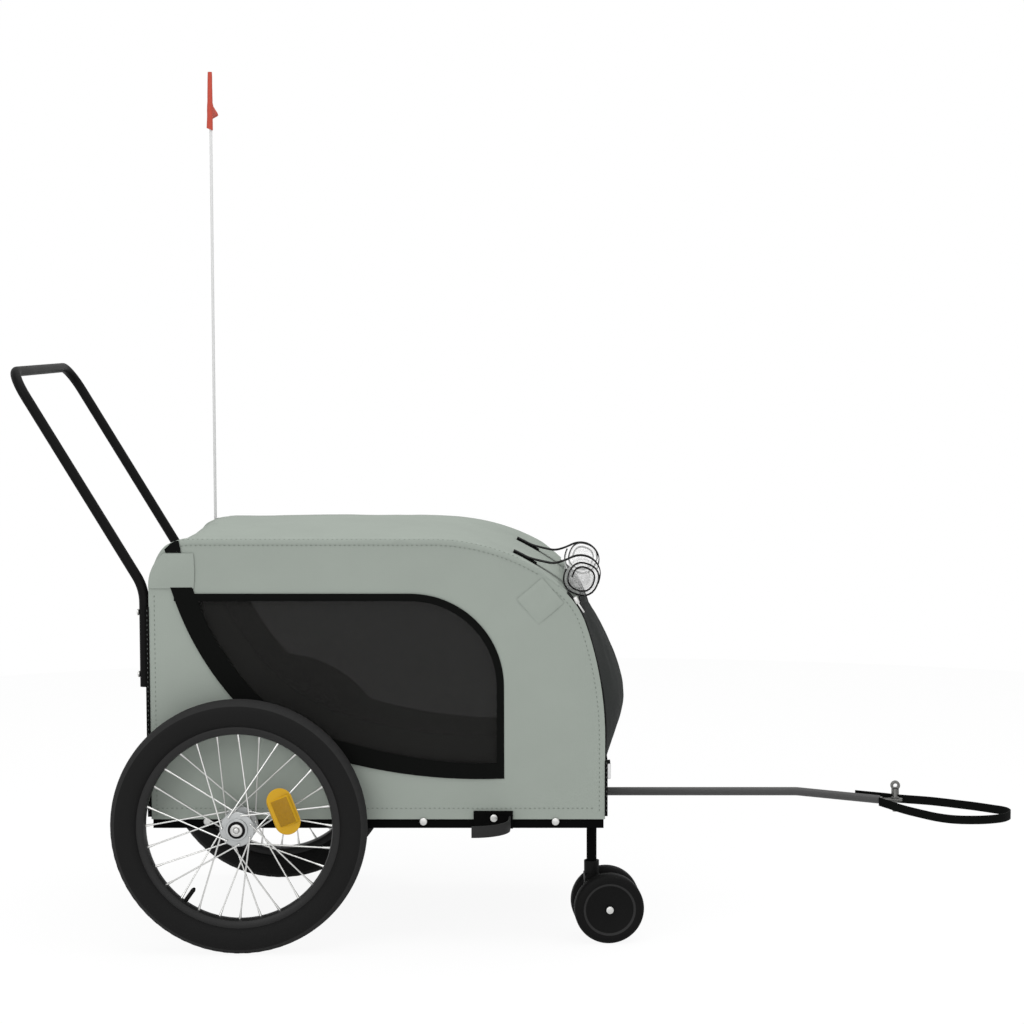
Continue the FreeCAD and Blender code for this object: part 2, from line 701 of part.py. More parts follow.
outer, inner = spiral(0), spiral(d.roll_sheet)
caps = [line(outer[0].firstVertex().Point, inner[0].firstVertex().Point),
        line(outer[-1].lastVertex().Point, inner[-1].lastVertex().Point)]
roll = Part.Face(Part.Wire(Part.__sortEdges__(outer + inner + caps))).extrude(Vector(0, d.roll_length, 0))
roll.translate(Vector(0, -d.roll_length / 2, 0))
seat("rain_cover_roll", feature("rain_cover_roll", roll))


def cover_strap(middle):
    """A strap sewn along the roof whose end rings the roll."""
    near = abs(middle) - d.strap_width / 2
    top = d.roof_height + d.roof_crown * (1 - (near / roof_reach) ** 2)
    end = corner_of(0, brow)
    radius = (top - end.z) / (1 - math.cos(brow))
    centre = Vector(end.x - radius * math.sin(brow), 0, top - radius)
    start = brow - d.strap_tail / radius
    under = roll_turn - math.asin(d.strap_thickness / (d.roll_radius / 2))
    edges, ends = [], []
    for rise in (d.lie_gap, d.lie_gap + d.strap_thickness):
        arc = [centre + Vector(math.sin(t), 0, math.cos(t)) * (radius + rise)
               for t in (start, (start + brow) / 2, brow)]
        edges += [Part.Arc(*arc).toShape(), front_arc(-rise, brow, under)]
        ends.append((arc[0], edges[-1].lastVertex().Point))
    edges += [line(ends[0][0], ends[1][0]), line(ends[0][1], ends[1][1])]
    low = Vector(0, middle - d.strap_width / 2, 0)
    across = Vector(0, d.strap_width, 0)
    tail = Part.Face(Part.Wire(Part.__sortEdges__(edges))).extrude(across)
    tail.translate(low)
    ring = drill(roll_at + low, across, 2 * (d.roll_radius + d.lie_gap + d.strap_thickness))
    return ring.fuse(tail).cut(drill(roll_at + low, across, 2 * (d.roll_radius + d.lie_gap))).removeSplitter()


straps = [cover_strap(sign * d.strap_spacing / 2) for sign in SIDES.values()]
seat("cover_straps", feature("cover_straps", Part.makeCompound(straps)))

# Push handle, bolted through the rear fabric to the hoops
leg, reach = d.handle_spread / 2, Vector(0, d.handle_spread, 0)
low_leg = [Vector(handle_x, -leg, handle_foot), Vector(handle_x, -leg, handle_bend),
           Vector(handle_back, -leg, handle_top)]
handle_wire = rounded(low_leg + [p + reach for p in reversed(low_leg)],
                      (d.handle_bend_radius, d.handle_corner, d.handle_corner, d.handle_bend_radius))
handle = tube(handle_wire, d.handle_tube, d.handle_wall)
handle_bolts = []
bolt_back = handle_x - d.handle_tube / 2
for sign in SIDES.values():
    for hole in handle_drills(sign, d.handle_bolt + 2 * d.running_gap):
        handle = handle.cut(hole)
    for z in handle_bolt_zs:
        head = Vector(bolt_back - d.lie_gap, sign * leg, z)
        shank_reach = d.handle_tube + d.fabric_thickness + d.frame_tube / 2
        shank = drill(head, Vector(shank_reach, 0, 0), d.handle_bolt)
        handle_bolts.append(shank.fuse(drill(head, Vector(-d.bolt_head_height, 0, 0), d.handle_bolt_head)))
seat("handle_bar", feature("handle_bar", handle))
seat("handle_bolts", feature("handle_bolts", Part.makeCompound(handle_bolts)))

# Curved bumpers that keep the road wheels clear of posts
for hand, sign in SIDES.items():
    plate_y = side + d.lie_gap
    plate = Part.makeBox(d.bumper_length, d.bumper_thickness, d.bumper_plate_height,
                         Vector(bumper_back, plate_y, axle_z - d.rail_size / 2))
    tip_y = side + d.bumper_out - d.bumper_thickness / 2
    front = bumper_back + d.bumper_radius + d.bumper_thickness
    strip_path = rounded([Vector(front, plate_y, axle_z), Vector(front, tip_y, axle_z),
                          Vector(bumper_back, tip_y, axle_z)], (d.bumper_radius,))
    half, tall = d.bumper_thickness / 2, d.bumper_height / 2
    edge = [Vector(front + x * half, plate_y, axle_z + z * tall)
            for x, z in ((-1, -1), (1, -1), (1, 1), (-1, 1))]
    strip = strip_path.makePipeShell([Part.makePolygon(edge + edge[:1])], True, False)
    bolt_at = Vector(bumper_back + d.bumper_bolt_in, plate_y, axle_z + d.bumper_bolt_rise)
    bolt = drill(bolt_at, Vector(0, d.bumper_thickness, 0), d.bolt_diameter + 2 * d.running_gap)
    bumper = plate.fuse(strip).cut(bolt).removeSplitter()
    if sign < 0:
        bumper = bumper.mirror(Vector(), Vector(0, 1, 0))
    seat(f"wheel_bumper_{hand}", feature(f"wheel_bumper_{hand}", bumper))

# Frame bolts: five through each rail from outside, two up through the drawbar
def bolt_piece(name, axis, reach, place, seat_at, way):
    """A bolt whose head lies outside its seat; way is the direction the head faces."""
    starts = {1: (f"{seat_at} - ({reach})", seat_at), -1: (seat_at, f"{seat_at} - bolt_head_height")}[way]
    shank = rod(name + "_shank", axis, "bolt_diameter / 2", reach, *place(starts[0]))
    head = rod(name + "_head", axis, "bolt_head / 2", "bolt_head_height", *place(starts[1]))
    return fuse(name, [shank, head])


OUTSIDE = "body_width / 2 + lie_gap + running_gap"
bolts = []
for hand, sign in SIDES.items():
    places = [(x, "tyre_diameter / 2", OUTSIDE) for x in BOLT_XS]
    places.append((BUMPER_BOLT, "tyre_diameter / 2 + bumper_bolt_rise", f"{OUTSIDE} + bumper_thickness"))
    for i, (x, z, out) in enumerate(places):
        seat_y = out if sign > 0 else f"0 - ({out})"
        piece = bolt_piece(f"rail_bolt_{hand}_{i}", "Y", "bolt_reach", lambda y: (x, y, z), seat_y, sign)
        bolts.append(piece)
for name, x in (("fore_bolt", FORE_BAR), ("front_bolt", FRONT_BAR)):
    piece = bolt_piece(name, "Z", "(rail_size + drawbar_tube) / 2", lambda z: (x, "drawbar_y", z),
                       f"{RAIL_LOW} - running_gap", -1)
    bolts.append(piece)
seat("frame_bolts", group("frame_bolts", bolts))

# Axle receivers: a tube welded to a plate inside each rail
HUB_LENGTH = "(flange_spacing + 2 * hub_end_length)"
AXLE_BORE = "axle_diameter / 2 + running_gap"
for hand, sign in SIDES.items():
    name = f"axle_receiver_{hand}"
    inner = f"{RAIL_OUT} - rail_size - receiver_depth"
    proud = "wheel_gap - flange_spacing / 2 - hub_end_length - hub_gap"
    length = f"rail_size + receiver_depth + {proud} + fabric_thickness + lie_gap"
    start = inner if sign > 0 else f"0 - ({inner}) - ({length})"
    plate_y = f"{RAIL_OUT} - rail_size - bracket_thickness" if sign > 0 else f"0 - ({RAIL_OUT} - rail_size)"
    plate = block(name + "_plate", "bracket_length", "bracket_thickness", "rail_size",
                  "0 - bracket_length / 2", plate_y, RAIL_LOW)
    sleeve = rod(name + "_sleeve", "Y", "receiver_diameter / 2", length, "0", start, "tyre_diameter / 2")
    holes = [rod(name + "_bore", "Y", AXLE_BORE, f"{length} + 2 * overrun", "0", f"{start} - overrun",
                 "tyre_diameter / 2")]
    holes += [rod(f"{name}_hole_{i}", "Y", BOLT_HOLE, "bracket_thickness + 2 * overrun", x,
                  f"{plate_y} - overrun", "tyre_diameter / 2")
              for i, x in enumerate(("0 - bracket_bolt", "bracket_bolt"))]
    seat(name, cut(name, fuse(name + "_welded", [plate, sleeve]), holes))

# Road wheels. Each is drawn with its axle along Z, outwards, and turned to its side.


def half_turn(sign):
    """The turn that sends a wheel's own Z axis outwards."""
    return Rotation(Vector(1, 0, 0), -90 * sign)


def ring_torus(name, ring, thickness):
    torus = doc.addObject("Part::Torus", name)
    torus.setExpression("Radius1", bound(ring))
    torus.setExpression("Radius2", bound(thickness))
    return torus


def spokes():
    """Spokes laced to both flanges, leaning to and fro, each ending in the rim."""
    rods = []
    rim_in = rim_radius - d.rim_depth
    for i in range(SPOKES):
        flange = 1 if i % 2 else -1
        lean = -1 if (i // 2) % 2 else 1
        lie = d.flange_thickness / 2 + d.spoke_diameter / 2 + d.running_gap
        lie += d.spoke_head_rise if lean == flange else 0
        turn = 2 * math.pi * i / SPOKES
        hub_turn = turn + lean * math.radians(d.spoke_lean)
        start = Vector(d.spoke_circle / 2 * math.cos(hub_turn), d.spoke_circle / 2 * math.sin(hub_turn),
                       flange * (d.flange_spacing / 2) + lean * lie)
        end = Vector(math.cos(turn), math.sin(turn), 0) * (rim_in - d.lie_gap)
        end.z = flange * d.spoke_rim_spread
        rods.append(drill(start, end - start, d.spoke_diameter))
    return Part.makeCompound(rods)


def reflector(laced):
    """An amber plate with round ends, lowered until it lies on the laced spokes."""
    half = d.reflector_width / 2
    straight = d.reflector_length / 2 - half
    left, right = Vector(0, -straight, 0), Vector(0, straight, 0)
    wide, tall = Vector(half, 0, 0), Vector(0, half, 0)
    face = Part.Face(Part.Wire([
        line(left + wide, right + wide), Part.Arc(right + wide, right + tall, right - wide).toShape(),
        line(right - wide, left - wide), Part.Arc(left - wide, left - tall, left + wide).toShape()]))
    plate = face.extrude(Vector(0, 0, d.reflector_thickness))
    lie = d.flange_thickness / 2 + d.spoke_diameter + d.spoke_head_rise + 2 * d.running_gap
    high = d.flange_spacing / 2 + lie
    fall = (high - d.spoke_rim_spread) / (rim_radius - d.rim_depth - d.spoke_circle / 2)
    tilt = Rotation(Vector(0, 1, 0), math.degrees(math.atan(fall)))
    plate.Placement = Placement(Vector(), Rotation(Vector(0, 0, 1), d.reflector_angle)).multiply(
        Placement(Vector(d.reflector_radius, 0, high), tilt))
    for _ in range(SEATING_STEPS):
        plate.translate(Vector(0, 0, d.lie_gap - plate.distToShape(laced)[0]))
    return plate


for hand, sign in SIDES.items():
    at_wheel = Placement(Vector(0, sign * track / 2, axle_z), half_turn(sign))
    low_face = Placement(Vector(0, sign * (track / 2 - hub_length / 2), axle_z), half_turn(sign))
    low_rim = Placement(Vector(0, sign * (track / 2 - d.rim_width / 2), axle_z), half_turn(sign))
    ring = "tyre_diameter / 2 - tyre_width / 2"
    casing = ring_torus(f"tyre_casing_{hand}", ring, "tyre_width / 2")
    hollow = ring_torus(f"tyre_hollow_{hand}", ring, "tyre_width / 2 - tyre_wall")
    slot = doc.addObject("Part::Cylinder", f"tyre_slot_{hand}")
    slot.setExpression("Radius", bound("tyre_diameter / 2 - tyre_width / 2"))
    slot.setExpression("Height", bound("bead_slot"))
    slot.setExpression("Placement.Base.z", bound("0 - bead_slot / 2"))
    seat(f"tyre_{hand}", cut(f"tyre_{hand}", casing, [hollow, slot]), at_wheel)
    skin = "tyre_width / 2 - tyre_wall - lie_gap"
    bladder = ring_torus(f"inner_tube_ring_{hand}", ring, skin)
    air = ring_torus(f"inner_tube_air_{hand}", ring, f"{skin} - inner_tube_wall")
    seat(f"inner_tube_{hand}", cut(f"inner_tube_{hand}", bladder, [air]), at_wheel)
    rim_out = "(tyre_diameter / 2 - tyre_width + rim_bead)"
    rim_in = f"{rim_out} - rim_depth"
    seat(f"rim_{hand}", turned(f"rim_{hand}", [
        (rim_in, "0"), (rim_out, "0"), (rim_out, "rim_wall"), (f"{rim_out} - rim_channel", "rim_wall"),
        (f"{rim_out} - rim_channel", "rim_width - rim_wall"), (rim_out, "rim_width - rim_wall"),
        (rim_out, "rim_width"), (rim_in, "rim_width")]), low_rim)
    laced = spokes()
    seat(f"spokes_{hand}", feature(f"spokes_{hand}", laced), at_wheel)
    shell, flange, bore, pocket = "hub_diameter / 2", "flange_diameter / 2", "hub_bore / 2", (
        "bearing_diameter / 2 + seat_gap")
    low, high = "hub_end_length", "hub_end_length + flange_spacing"
    thick = "flange_thickness / 2"
    outer_race = f"{HUB_LENGTH} - bearing_width"
    seat(f"hub_shell_{hand}", turned(f"hub_shell_{hand}", [
        (pocket, "0"), (shell, "0"), (shell, f"{low} - {thick}"), (flange, f"{low} - {thick}"),
        (flange, f"{low} + {thick}"), (shell, f"{low} + {thick}"), (shell, f"{high} - {thick}"),
        (flange, f"{high} - {thick}"), (flange, f"{high} + {thick}"), (shell, f"{high} + {thick}"),
        (shell, HUB_LENGTH), (pocket, HUB_LENGTH), (pocket, outer_race), (bore, outer_race),
        (bore, "bearing_width"), (pocket, "bearing_width")]), low_face)
    races = []
    for i, z in enumerate(("0", outer_race)):
        race = rod(f"bearing_{hand}_{i}", "Z", "bearing_diameter / 2", "bearing_width", "0", "0", z)
        hole = rod(f"bearing_bore_{hand}_{i}", "Z", AXLE_BORE, "bearing_width + 2 * overrun", "0", "0",
                   f"{z} - overrun")
        races.append(cut(f"bearing_ring_{hand}_{i}", race, [hole]))
    seat(f"hub_bearings_{hand}", group(f"hub_bearings_{hand}", races), low_face)
    seat(f"reflector_{hand}", feature(f"reflector_{hand}", reflector(laced)), at_wheel)
    valve_turn = math.radians(d.valve_angle)
    out = Vector(math.cos(valve_turn), math.sin(valve_turn), 0)
    valve_top = rim_radius - d.rim_depth - d.running_gap
    stem = Part.makeCylinder(d.valve_diameter / 2, d.valve_length, out * (valve_top - d.valve_length), out)
    tip = Part.makeCone(d.valve_diameter / 4, d.valve_diameter / 2, d.valve_diameter / 2,
                        out * (valve_top - d.valve_length - d.valve_diameter / 2), out)
    seat(f"valve_{hand}", feature(f"valve_{hand}", stem.fuse(tip).removeSplitter()), at_wheel)

    # Quick-release axle with its push button
    well = "button_length - button_proud + button_travel + lie_gap"
    axle_foot = sign * (hub_end + d.lie_gap - hub_length - d.axle_reach)
    length = f"axle_reach + {HUB_LENGTH}"
    seat(f"axle_{hand}", turned(f"axle_{hand}", [
        ("0", "0"), ("axle_diameter / 2", "0"), ("axle_diameter / 2", length),
        ("axle_head_diameter / 2", length), ("axle_head_diameter / 2", f"{length} + axle_head_thickness"),
        ("button_diameter / 2 + running_gap", f"{length} + axle_head_thickness"),
        ("button_diameter / 2 + running_gap", f"{length} + axle_head_thickness - ({well})"),
        ("0", f"{length} + axle_head_thickness - ({well})")]),
        Placement(Vector(0, axle_foot, axle_z), half_turn(sign)))
    button_foot = sign * (hub_end + d.lie_gap + d.axle_head_thickness + d.button_proud - d.button_length)
    crown = "button_length - button_proud / 2"
    seat(f"axle_button_{hand}", turned(f"axle_button_{hand}", [
        ("0", "0"), ("button_diameter / 2", "0"), ("button_diameter / 2", crown),
        ("button_diameter / 2 - button_proud / 2", "button_length"), ("0", "button_length")]),
        Placement(Vector(0, button_foot, axle_z), half_turn(sign)))

# Front castor: leg, swivelling hood, axle and twin wheels
leg_x, leg_y = front_bar, -d.castor_offset
leg_low = d.castor_collar_top - d.castor_socket
LEG_LOW = "castor_collar_top - castor_socket"
LEG_LENGTH = f"tyre_diameter / 2 + rail_size / 2 - ({LEG_LOW})"
leg_out = rod("castor_leg_outer", "Z", "castor_leg / 2", LEG_LENGTH, FRONT_BAR, "0 - castor_offset", LEG_LOW)
leg_bore = rod("castor_leg_bore", "Z", "castor_leg / 2 - castor_leg_wall", LEG_LENGTH, FRONT_BAR,
               "0 - castor_offset", LEG_LOW)
seat("castor_leg", cut("castor_leg", leg_out, [leg_bore]))

swivel = Placement(Vector(leg_x, leg_y, 0), Rotation(Vector(0, 0, 1), d.castor_swivel))
castor_z = d.castor_wheel / 2
hood_across = Vector(0, d.castor_web, 0)
hood_near = Vector(d.castor_trail, -d.castor_web / 2, castor_z)
hood_disc = drill(hood_near, hood_across, d.castor_hood)
hood_top = leg_low - d.lie_gap
hood_neck = Part.makeBox(d.castor_collar, d.castor_web, hood_top - castor_z,
                         Vector(-d.castor_collar / 2, -d.castor_web / 2, castor_z))
collar = drill(Vector(0, 0, castor_z), Vector(0, 0, d.castor_collar_top - castor_z), d.castor_collar)
socket = drill(Vector(0, 0, hood_top), Vector(0, 0, d.castor_socket + d.overrun),
               d.castor_leg + 2 * d.running_gap)
axle_hole = drill(hood_near, hood_across, d.castor_axle + 2 * d.seat_gap)
below = Part.makeBox(d.castor_hood * 2, d.castor_web, d.castor_hood,
                     Vector(-d.castor_hood, -d.castor_web / 2, castor_z - d.castor_boss / 2 - d.castor_hood))
hood = hood_disc.fuse([hood_neck, collar]).cut(socket).cut(axle_hole).cut(below).removeSplitter()
seat("castor_hood", feature("castor_hood", hood), swivel)

wheel_in = d.castor_web / 2 + d.lie_gap
wheel_out = wheel_in + d.castor_wheel_width + d.lie_gap
spindle = drill(Vector(d.castor_trail, -wheel_out, castor_z), Vector(0, 2 * wheel_out, 0), d.castor_axle)
for way in SIDES.values():
    screw_at = Vector(d.castor_trail, way * wheel_out, castor_z)
    screw = drill(screw_at, Vector(0, way * d.castor_screw_height, 0), d.castor_screw)
    spindle = spindle.fuse(screw)
seat("castor_axle", feature("castor_axle", spindle.removeSplitter()), swivel)
tread, wide = "castor_wheel / 2", "castor_wheel_width"
for hand, sign in SIDES.items():
    at_hub = Placement(Vector(d.castor_trail, sign * wheel_in, castor_z), half_turn(sign))
    seat(f"castor_wheel_{hand}", turned(f"castor_wheel_{hand}", [
        ("castor_axle / 2 + running_gap", "0"), (f"{tread} - castor_tread", "0"), (tread, "castor_tread"),
        (tread, f"{wide} - castor_tread"), (f"{tread} - castor_tread", wide),
        ("castor_dish_diameter / 2", wide),
        ("castor_dish_diameter / 2 - castor_dish", f"{wide} - castor_dish"),
        ("castor_boss / 2 + castor_dish", f"{wide} - castor_dish"), ("castor_boss / 2", wide),
        ("castor_axle / 2 + running_gap", wide)]), swivel.multiply(at_hub))

# Drawbar through the front crossbars, with its flat tongue and hitch pin
bar_start = Vector(body_front - d.middle_bar_back + d.rail_size / 2, d.drawbar_y, axle_z)
bar_bend = Vector(drawbar_bend, d.drawbar_y, axle_z)
bar_end = Vector(drawbar_end, d.drawbar_y, axle_z - d.drawbar_drop)
drawbar = tube(rounded([bar_start, bar_bend, bar_end], (d.drawbar_radius,)), d.drawbar_tube, d.drawbar_wall)
for x in (fore_bar, front_bar):
    low = Vector(x, d.drawbar_y, axle_z - d.drawbar_tube)
    hole = drill(low, Vector(0, 0, 2 * d.drawbar_tube), d.bolt_diameter + 2 * d.running_gap)
    drawbar = drawbar.cut(hole)
seat("drawbar", feature("drawbar", drawbar))

fall = (bar_end - bar_bend).normalize()
tongue_low = bar_end.z - d.tongue_thickness / 2
stub = drill(bar_end - fall * d.tongue_stub, fall * (d.tongue_stub + d.tongue_thickness),
             d.drawbar_tube - 2 * d.drawbar_wall - 2 * d.running_gap)
plate_start = drawbar_end + d.lie_gap
plate = Part.makeBox(d.tongue_length, d.tongue_width, d.tongue_thickness,
                     Vector(plate_start, d.drawbar_y - d.tongue_width / 2, tongue_low))
pin_hole = drill(Vector(pin_x, d.drawbar_y, tongue_low), Vector(0, 0, d.tongue_thickness),
                 d.pin_shoulder + 2 * d.running_gap)
tongue_round_share = 0.4
tongue_edges = [e for e in plate.Edges if e.BoundBox.XMin > plate_start + d.tongue_length / 2
                and e.BoundBox.ZLength > d.tongue_thickness / 2]
plate = plate.makeFillet(tongue_round_share * d.tongue_width, tongue_edges)
tongue = plate.fuse(stub).cut(pin_hole).removeSplitter()
seat("hitch_tongue", feature("hitch_tongue", tongue))

tongue_top = tongue_low + d.tongue_thickness
pin_foot = Vector(pin_x, d.drawbar_y, tongue_low - d.pin_below)
eye_z = tongue_top + d.pin_above + d.pin_eye / 2
pin = drill(pin_foot, Vector(0, 0, eye_z - d.pin_eye / 4 - d.pin_eye_hole / 4 - pin_foot.z), d.pin_diameter)
collar_foot = Vector(pin_x, d.drawbar_y, tongue_top + d.running_gap)
collar = drill(collar_foot, Vector(0, 0, d.pin_collar_height), d.pin_collar)
shoulder_foot = Vector(pin_x, d.drawbar_y, tongue_low)
shoulder = drill(shoulder_foot, Vector(0, 0, d.tongue_thickness + d.pin_collar_height), d.pin_shoulder)
pin = pin.fuse([collar, shoulder])
eye_low = Vector(pin_x, d.drawbar_y - d.pin_eye_thickness / 2, eye_z)
eye = drill(eye_low, Vector(0, d.pin_eye_thickness, 0), d.pin_eye)
through = drill(eye_low - Vector(0, d.pin_diameter, 0), Vector(0, 3 * d.pin_diameter, 0), d.pin_eye_hole)
seat("hitch_pin", feature("hitch_pin", pin.fuse(eye).cut(through).removeSplitter()))


def safety_strap():
    """A webbing loop on edge, from one side of the tongue round to the other."""
    half, start = d.tongue_width / 2 + d.lie_gap, drawbar_end
    stretch = safety_tip - start
    full_share, tip_share = 0.62, 0.3
    full_x = start + full_share * stretch
    tip_y = d.drawbar_y - tip_share * (d.safety_near + d.drawbar_y)

    def skin(inset):
        near, far = d.drawbar_y - half - inset, d.drawbar_y + half + inset
        tip = Vector(safety_tip - d.safety_thickness + inset, tip_y, 0)
        near_full = Vector(full_x, -d.safety_near - inset, 0)
        far_full = Vector(full_x, d.safety_far + inset, 0)
        pin_end = Vector(pin_x, far, 0)
        return [(Vector(start, near, 0), near_full), (near_full, tip), (tip, far_full), (far_full, pin_end)]

    def bow(a, b, way):
        middle = (a + b) * 0.5
        side_way = Vector(-(b - a).y, (b - a).x, 0) * way
        return Part.Arc(a, middle + side_way, b).toShape()

    bow_shares = (-0.06, -0.16, -0.16, -0.04)
    edges, ends = [], []
    for inset in (0, d.safety_thickness):
        runs = skin(inset)
        edges += [bow(a, b, way) for (a, b), way in zip(runs, bow_shares)]
        ends.append((runs[0][0], runs[-1][1]))
    edges += [line(ends[0][0], ends[1][0]), line(ends[0][1], ends[1][1])]
    band = Part.Face(Part.Wire(Part.__sortEdges__(edges))).extrude(Vector(0, 0, d.safety_width))
    band.translate(Vector(0, 0, tongue_low + d.tongue_thickness / 2 - d.safety_width / 2))
    band.rotate(Vector(start, 0, tongue_low), Vector(0, 1, 0), d.safety_slope)
    return band


seat("safety_strap", feature("safety_strap", safety_strap()))

# Safety flag in its socket on the left rail
SOCKET_Y = "body_width / 2 + lie_gap"
FLAG_Y = "(body_width / 2 + flag_out)"
plate = block("flag_plate", "2 * socket_diameter", "socket_plate", "rail_size",
              "0 - flag_x - socket_diameter", SOCKET_Y, RAIL_LOW)
web = block("flag_web", "socket_diameter / 2", f"{FLAG_Y} - ({SOCKET_Y})", "rail_size",
            "0 - flag_x - socket_diameter / 4", SOCKET_Y, RAIL_LOW)
sleeve = rod("flag_sleeve", "Z", "socket_diameter / 2", "socket_height", "0 - flag_x", FLAG_Y, RAIL_LOW)
hole = rod("flag_hole", "Z", "pole_diameter / 2 + running_gap", "socket_height", "0 - flag_x", FLAG_Y,
           f"{RAIL_LOW} + socket_floor")
seat("flag_socket", cut("flag_socket", fuse("flag_socket_welded", [plate, web, sleeve]), [hole]))
POLE_LOW = f"{RAIL_LOW} + socket_floor"
pole = rod("pole_rod", "Z", "pole_diameter / 2", f"pole_top - ({POLE_LOW})", "0 - flag_x", FLAG_Y, POLE_LOW)
seat("flag_pole", group("flag_pole", [pole]))

sleeve_low = d.pole_top - d.pennant_height
flag_y = side + d.flag_out
cloth = Part.makeCylinder(d.pennant_sleeve / 2, d.pennant_height, Vector(-d.flag_x, flag_y, sleeve_low))
TIP_SHARE = 0.4
corners = [Vector(0, 0, 0), Vector(0, d.pennant_length, TIP_SHARE * d.pennant_height),
           Vector(0, 0, d.pennant_height)]
flap = Part.Face(Part.makePolygon(corners + corners[:1])).extrude(Vector(d.pennant_thickness, 0, 0))
flap.translate(Vector(-d.flag_x - d.pennant_thickness / 2, flag_y, sleeve_low))
bore = Part.makeCylinder(d.pole_diameter / 2 + d.running_gap, d.pennant_height + 2 * d.overrun,
                         Vector(-d.flag_x, flag_y, sleeve_low - d.overrun))
seat("flag_pennant", feature("flag_pennant", cloth.fuse(flap).cut(bore).removeSplitter()))

# Check the model, then write each sub-part
doc.recompute()
for item in doc.Objects:
    if {"Invalid", "Error"} & set(item.State):
        raise RuntimeError(f"{item.Name} failed: {item.State}")
os.makedirs("parts", exist_ok=True)
for name, piece in nodes.items():
    shape = piece.Shape
    if shape.isNull() or not shape.isValid() or not shape.Solids:
        raise RuntimeError(f"{name} is not a valid solid")
for name, piece in nodes.items():
    piece.Shape.exportStep(f"parts/{name}.step")
    box = piece.Shape.BoundBox
    print(f"{name}: {len(piece.Shape.Solids)} solids, {piece.Shape.Volume / 1000:.1f} cm3, "
          f"x {box.XMin:.1f} {box.XMax:.1f} y {box.YMin:.1f} {box.YMax:.1f} z {box.ZMin:.1f} {box.ZMax:.1f}")
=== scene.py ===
# %% [markdown]
# # Dressing a dog bike trailer
# A low steel frame on two spoked wheels carries a cloth cabin, a push handle, a castor and a drawbar.
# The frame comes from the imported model. This lesson finishes every piece and sews the cloth parts.

# %% Load the frame
import json
import math

import bmesh
import bpy
from mathutils import Matrix, Vector, noise
from mathutils.kdtree import KDTree


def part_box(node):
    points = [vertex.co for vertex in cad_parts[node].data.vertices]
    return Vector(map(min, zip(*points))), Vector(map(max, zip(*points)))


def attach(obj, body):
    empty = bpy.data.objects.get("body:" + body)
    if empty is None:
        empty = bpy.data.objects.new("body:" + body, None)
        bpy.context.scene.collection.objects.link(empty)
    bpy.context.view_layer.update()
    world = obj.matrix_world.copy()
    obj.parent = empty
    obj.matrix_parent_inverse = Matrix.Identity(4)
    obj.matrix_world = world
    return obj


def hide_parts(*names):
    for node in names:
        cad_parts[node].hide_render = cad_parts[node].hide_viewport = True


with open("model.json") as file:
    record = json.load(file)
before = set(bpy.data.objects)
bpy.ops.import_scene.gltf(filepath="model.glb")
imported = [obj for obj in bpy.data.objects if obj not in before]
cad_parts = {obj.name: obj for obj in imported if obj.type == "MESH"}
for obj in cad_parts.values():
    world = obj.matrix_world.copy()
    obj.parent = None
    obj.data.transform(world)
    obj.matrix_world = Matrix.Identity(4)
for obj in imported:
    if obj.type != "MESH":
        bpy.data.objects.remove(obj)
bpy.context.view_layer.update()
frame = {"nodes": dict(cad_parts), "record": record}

nodes = frame["nodes"]

# %% [markdown]
# ## Measures
# Lengths are read off the trailer in millimetres and Blender works in metres. Places along the
# trailer are counted from the wheel axle, forwards, because that is where a builder hooks the tape.

# %% Measures
def mm(length):
    """A length in millimetres, in Blender's metres."""
    return length / 1000


def middle(node):
    """The centre of a node's box."""
    low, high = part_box(node)
    return (low + high) / 2


AXLE = middle("axle_right").x
SIDES = {"right": -1, "left": 1}


def at(x, y, z):
    """A place in millimetres, counted forwards from the wheel axle."""
    return Vector((AXLE + mm(x), mm(y), mm(z)))


for name in ("tyre_right", "side_panel_right", "roof_panel"):
    low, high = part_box(name)
    print(name, [round(v * 1000, 1) for v in (*low, *high)])

# %% [markdown]
# ## The camera
# The photograph was taken from the right of the trailer, a little above the roof, with a long lens.
# Its frame was cropped afterwards, so the lens is shifted to put the same view in the picture.

# %% Camera
PICTURE = 1024
FOCAL = 2498
AIM = (577.2, 530.0)
lens = bpy.data.cameras.new("photo")
lens.sensor_width = 36
lens.lens = FOCAL / PICTURE * lens.sensor_width
lens.shift_x = (PICTURE / 2 - AIM[0]) / PICTURE
lens.shift_y = (AIM[1] - PICTURE / 2) / PICTURE
camera = bpy.data.objects.new("photo", lens)
camera.location = at(527.1, -4112.0, 980.9)
camera.rotation_euler = (math.radians(90 - 4.72), 0, 0)
bpy.context.collection.objects.link(camera)
bpy.context.scene.camera = camera
print("lens", round(lens.lens, 1), "mm")

# %% [markdown]
# ## Colours and shader nodes
# Colours are written as the hex codes a paint chart gives. One function adds a shader node, sets
# it up and joins its inputs, and every material below is made with it.

# %% Colours and shader nodes
def srgb(code):
    """A paint chart's hex colour as the linear values that Blender works in."""
    shares = [int(code[i:i + 2], 16) / 255 for i in (1, 3, 5)]
    return [c / 12.92 if c <= 0.04045 else ((c + 0.055) / 1.055) ** 2.4 for c in shares] + [1]


def add(owner, kind, inputs=(), **settings):
    """Add a shader node to a material, world or light, with its settings, values and links."""
    tree = owner.node_tree
    node = tree.nodes.new("ShaderNode" + kind)
    for key, value in settings.items():
        setattr(node, key, value)
    for key, value in dict(inputs).items():
        if isinstance(value, bpy.types.NodeSocket):
            tree.links.new(value, node.inputs[key])
        else:
            node.inputs[key].default_value = value
    return node


def blank(name):
    """A new material with no nodes."""
    material = bpy.data.materials.new(name)
    material.use_nodes = True
    material.node_tree.nodes.clear()
    return material


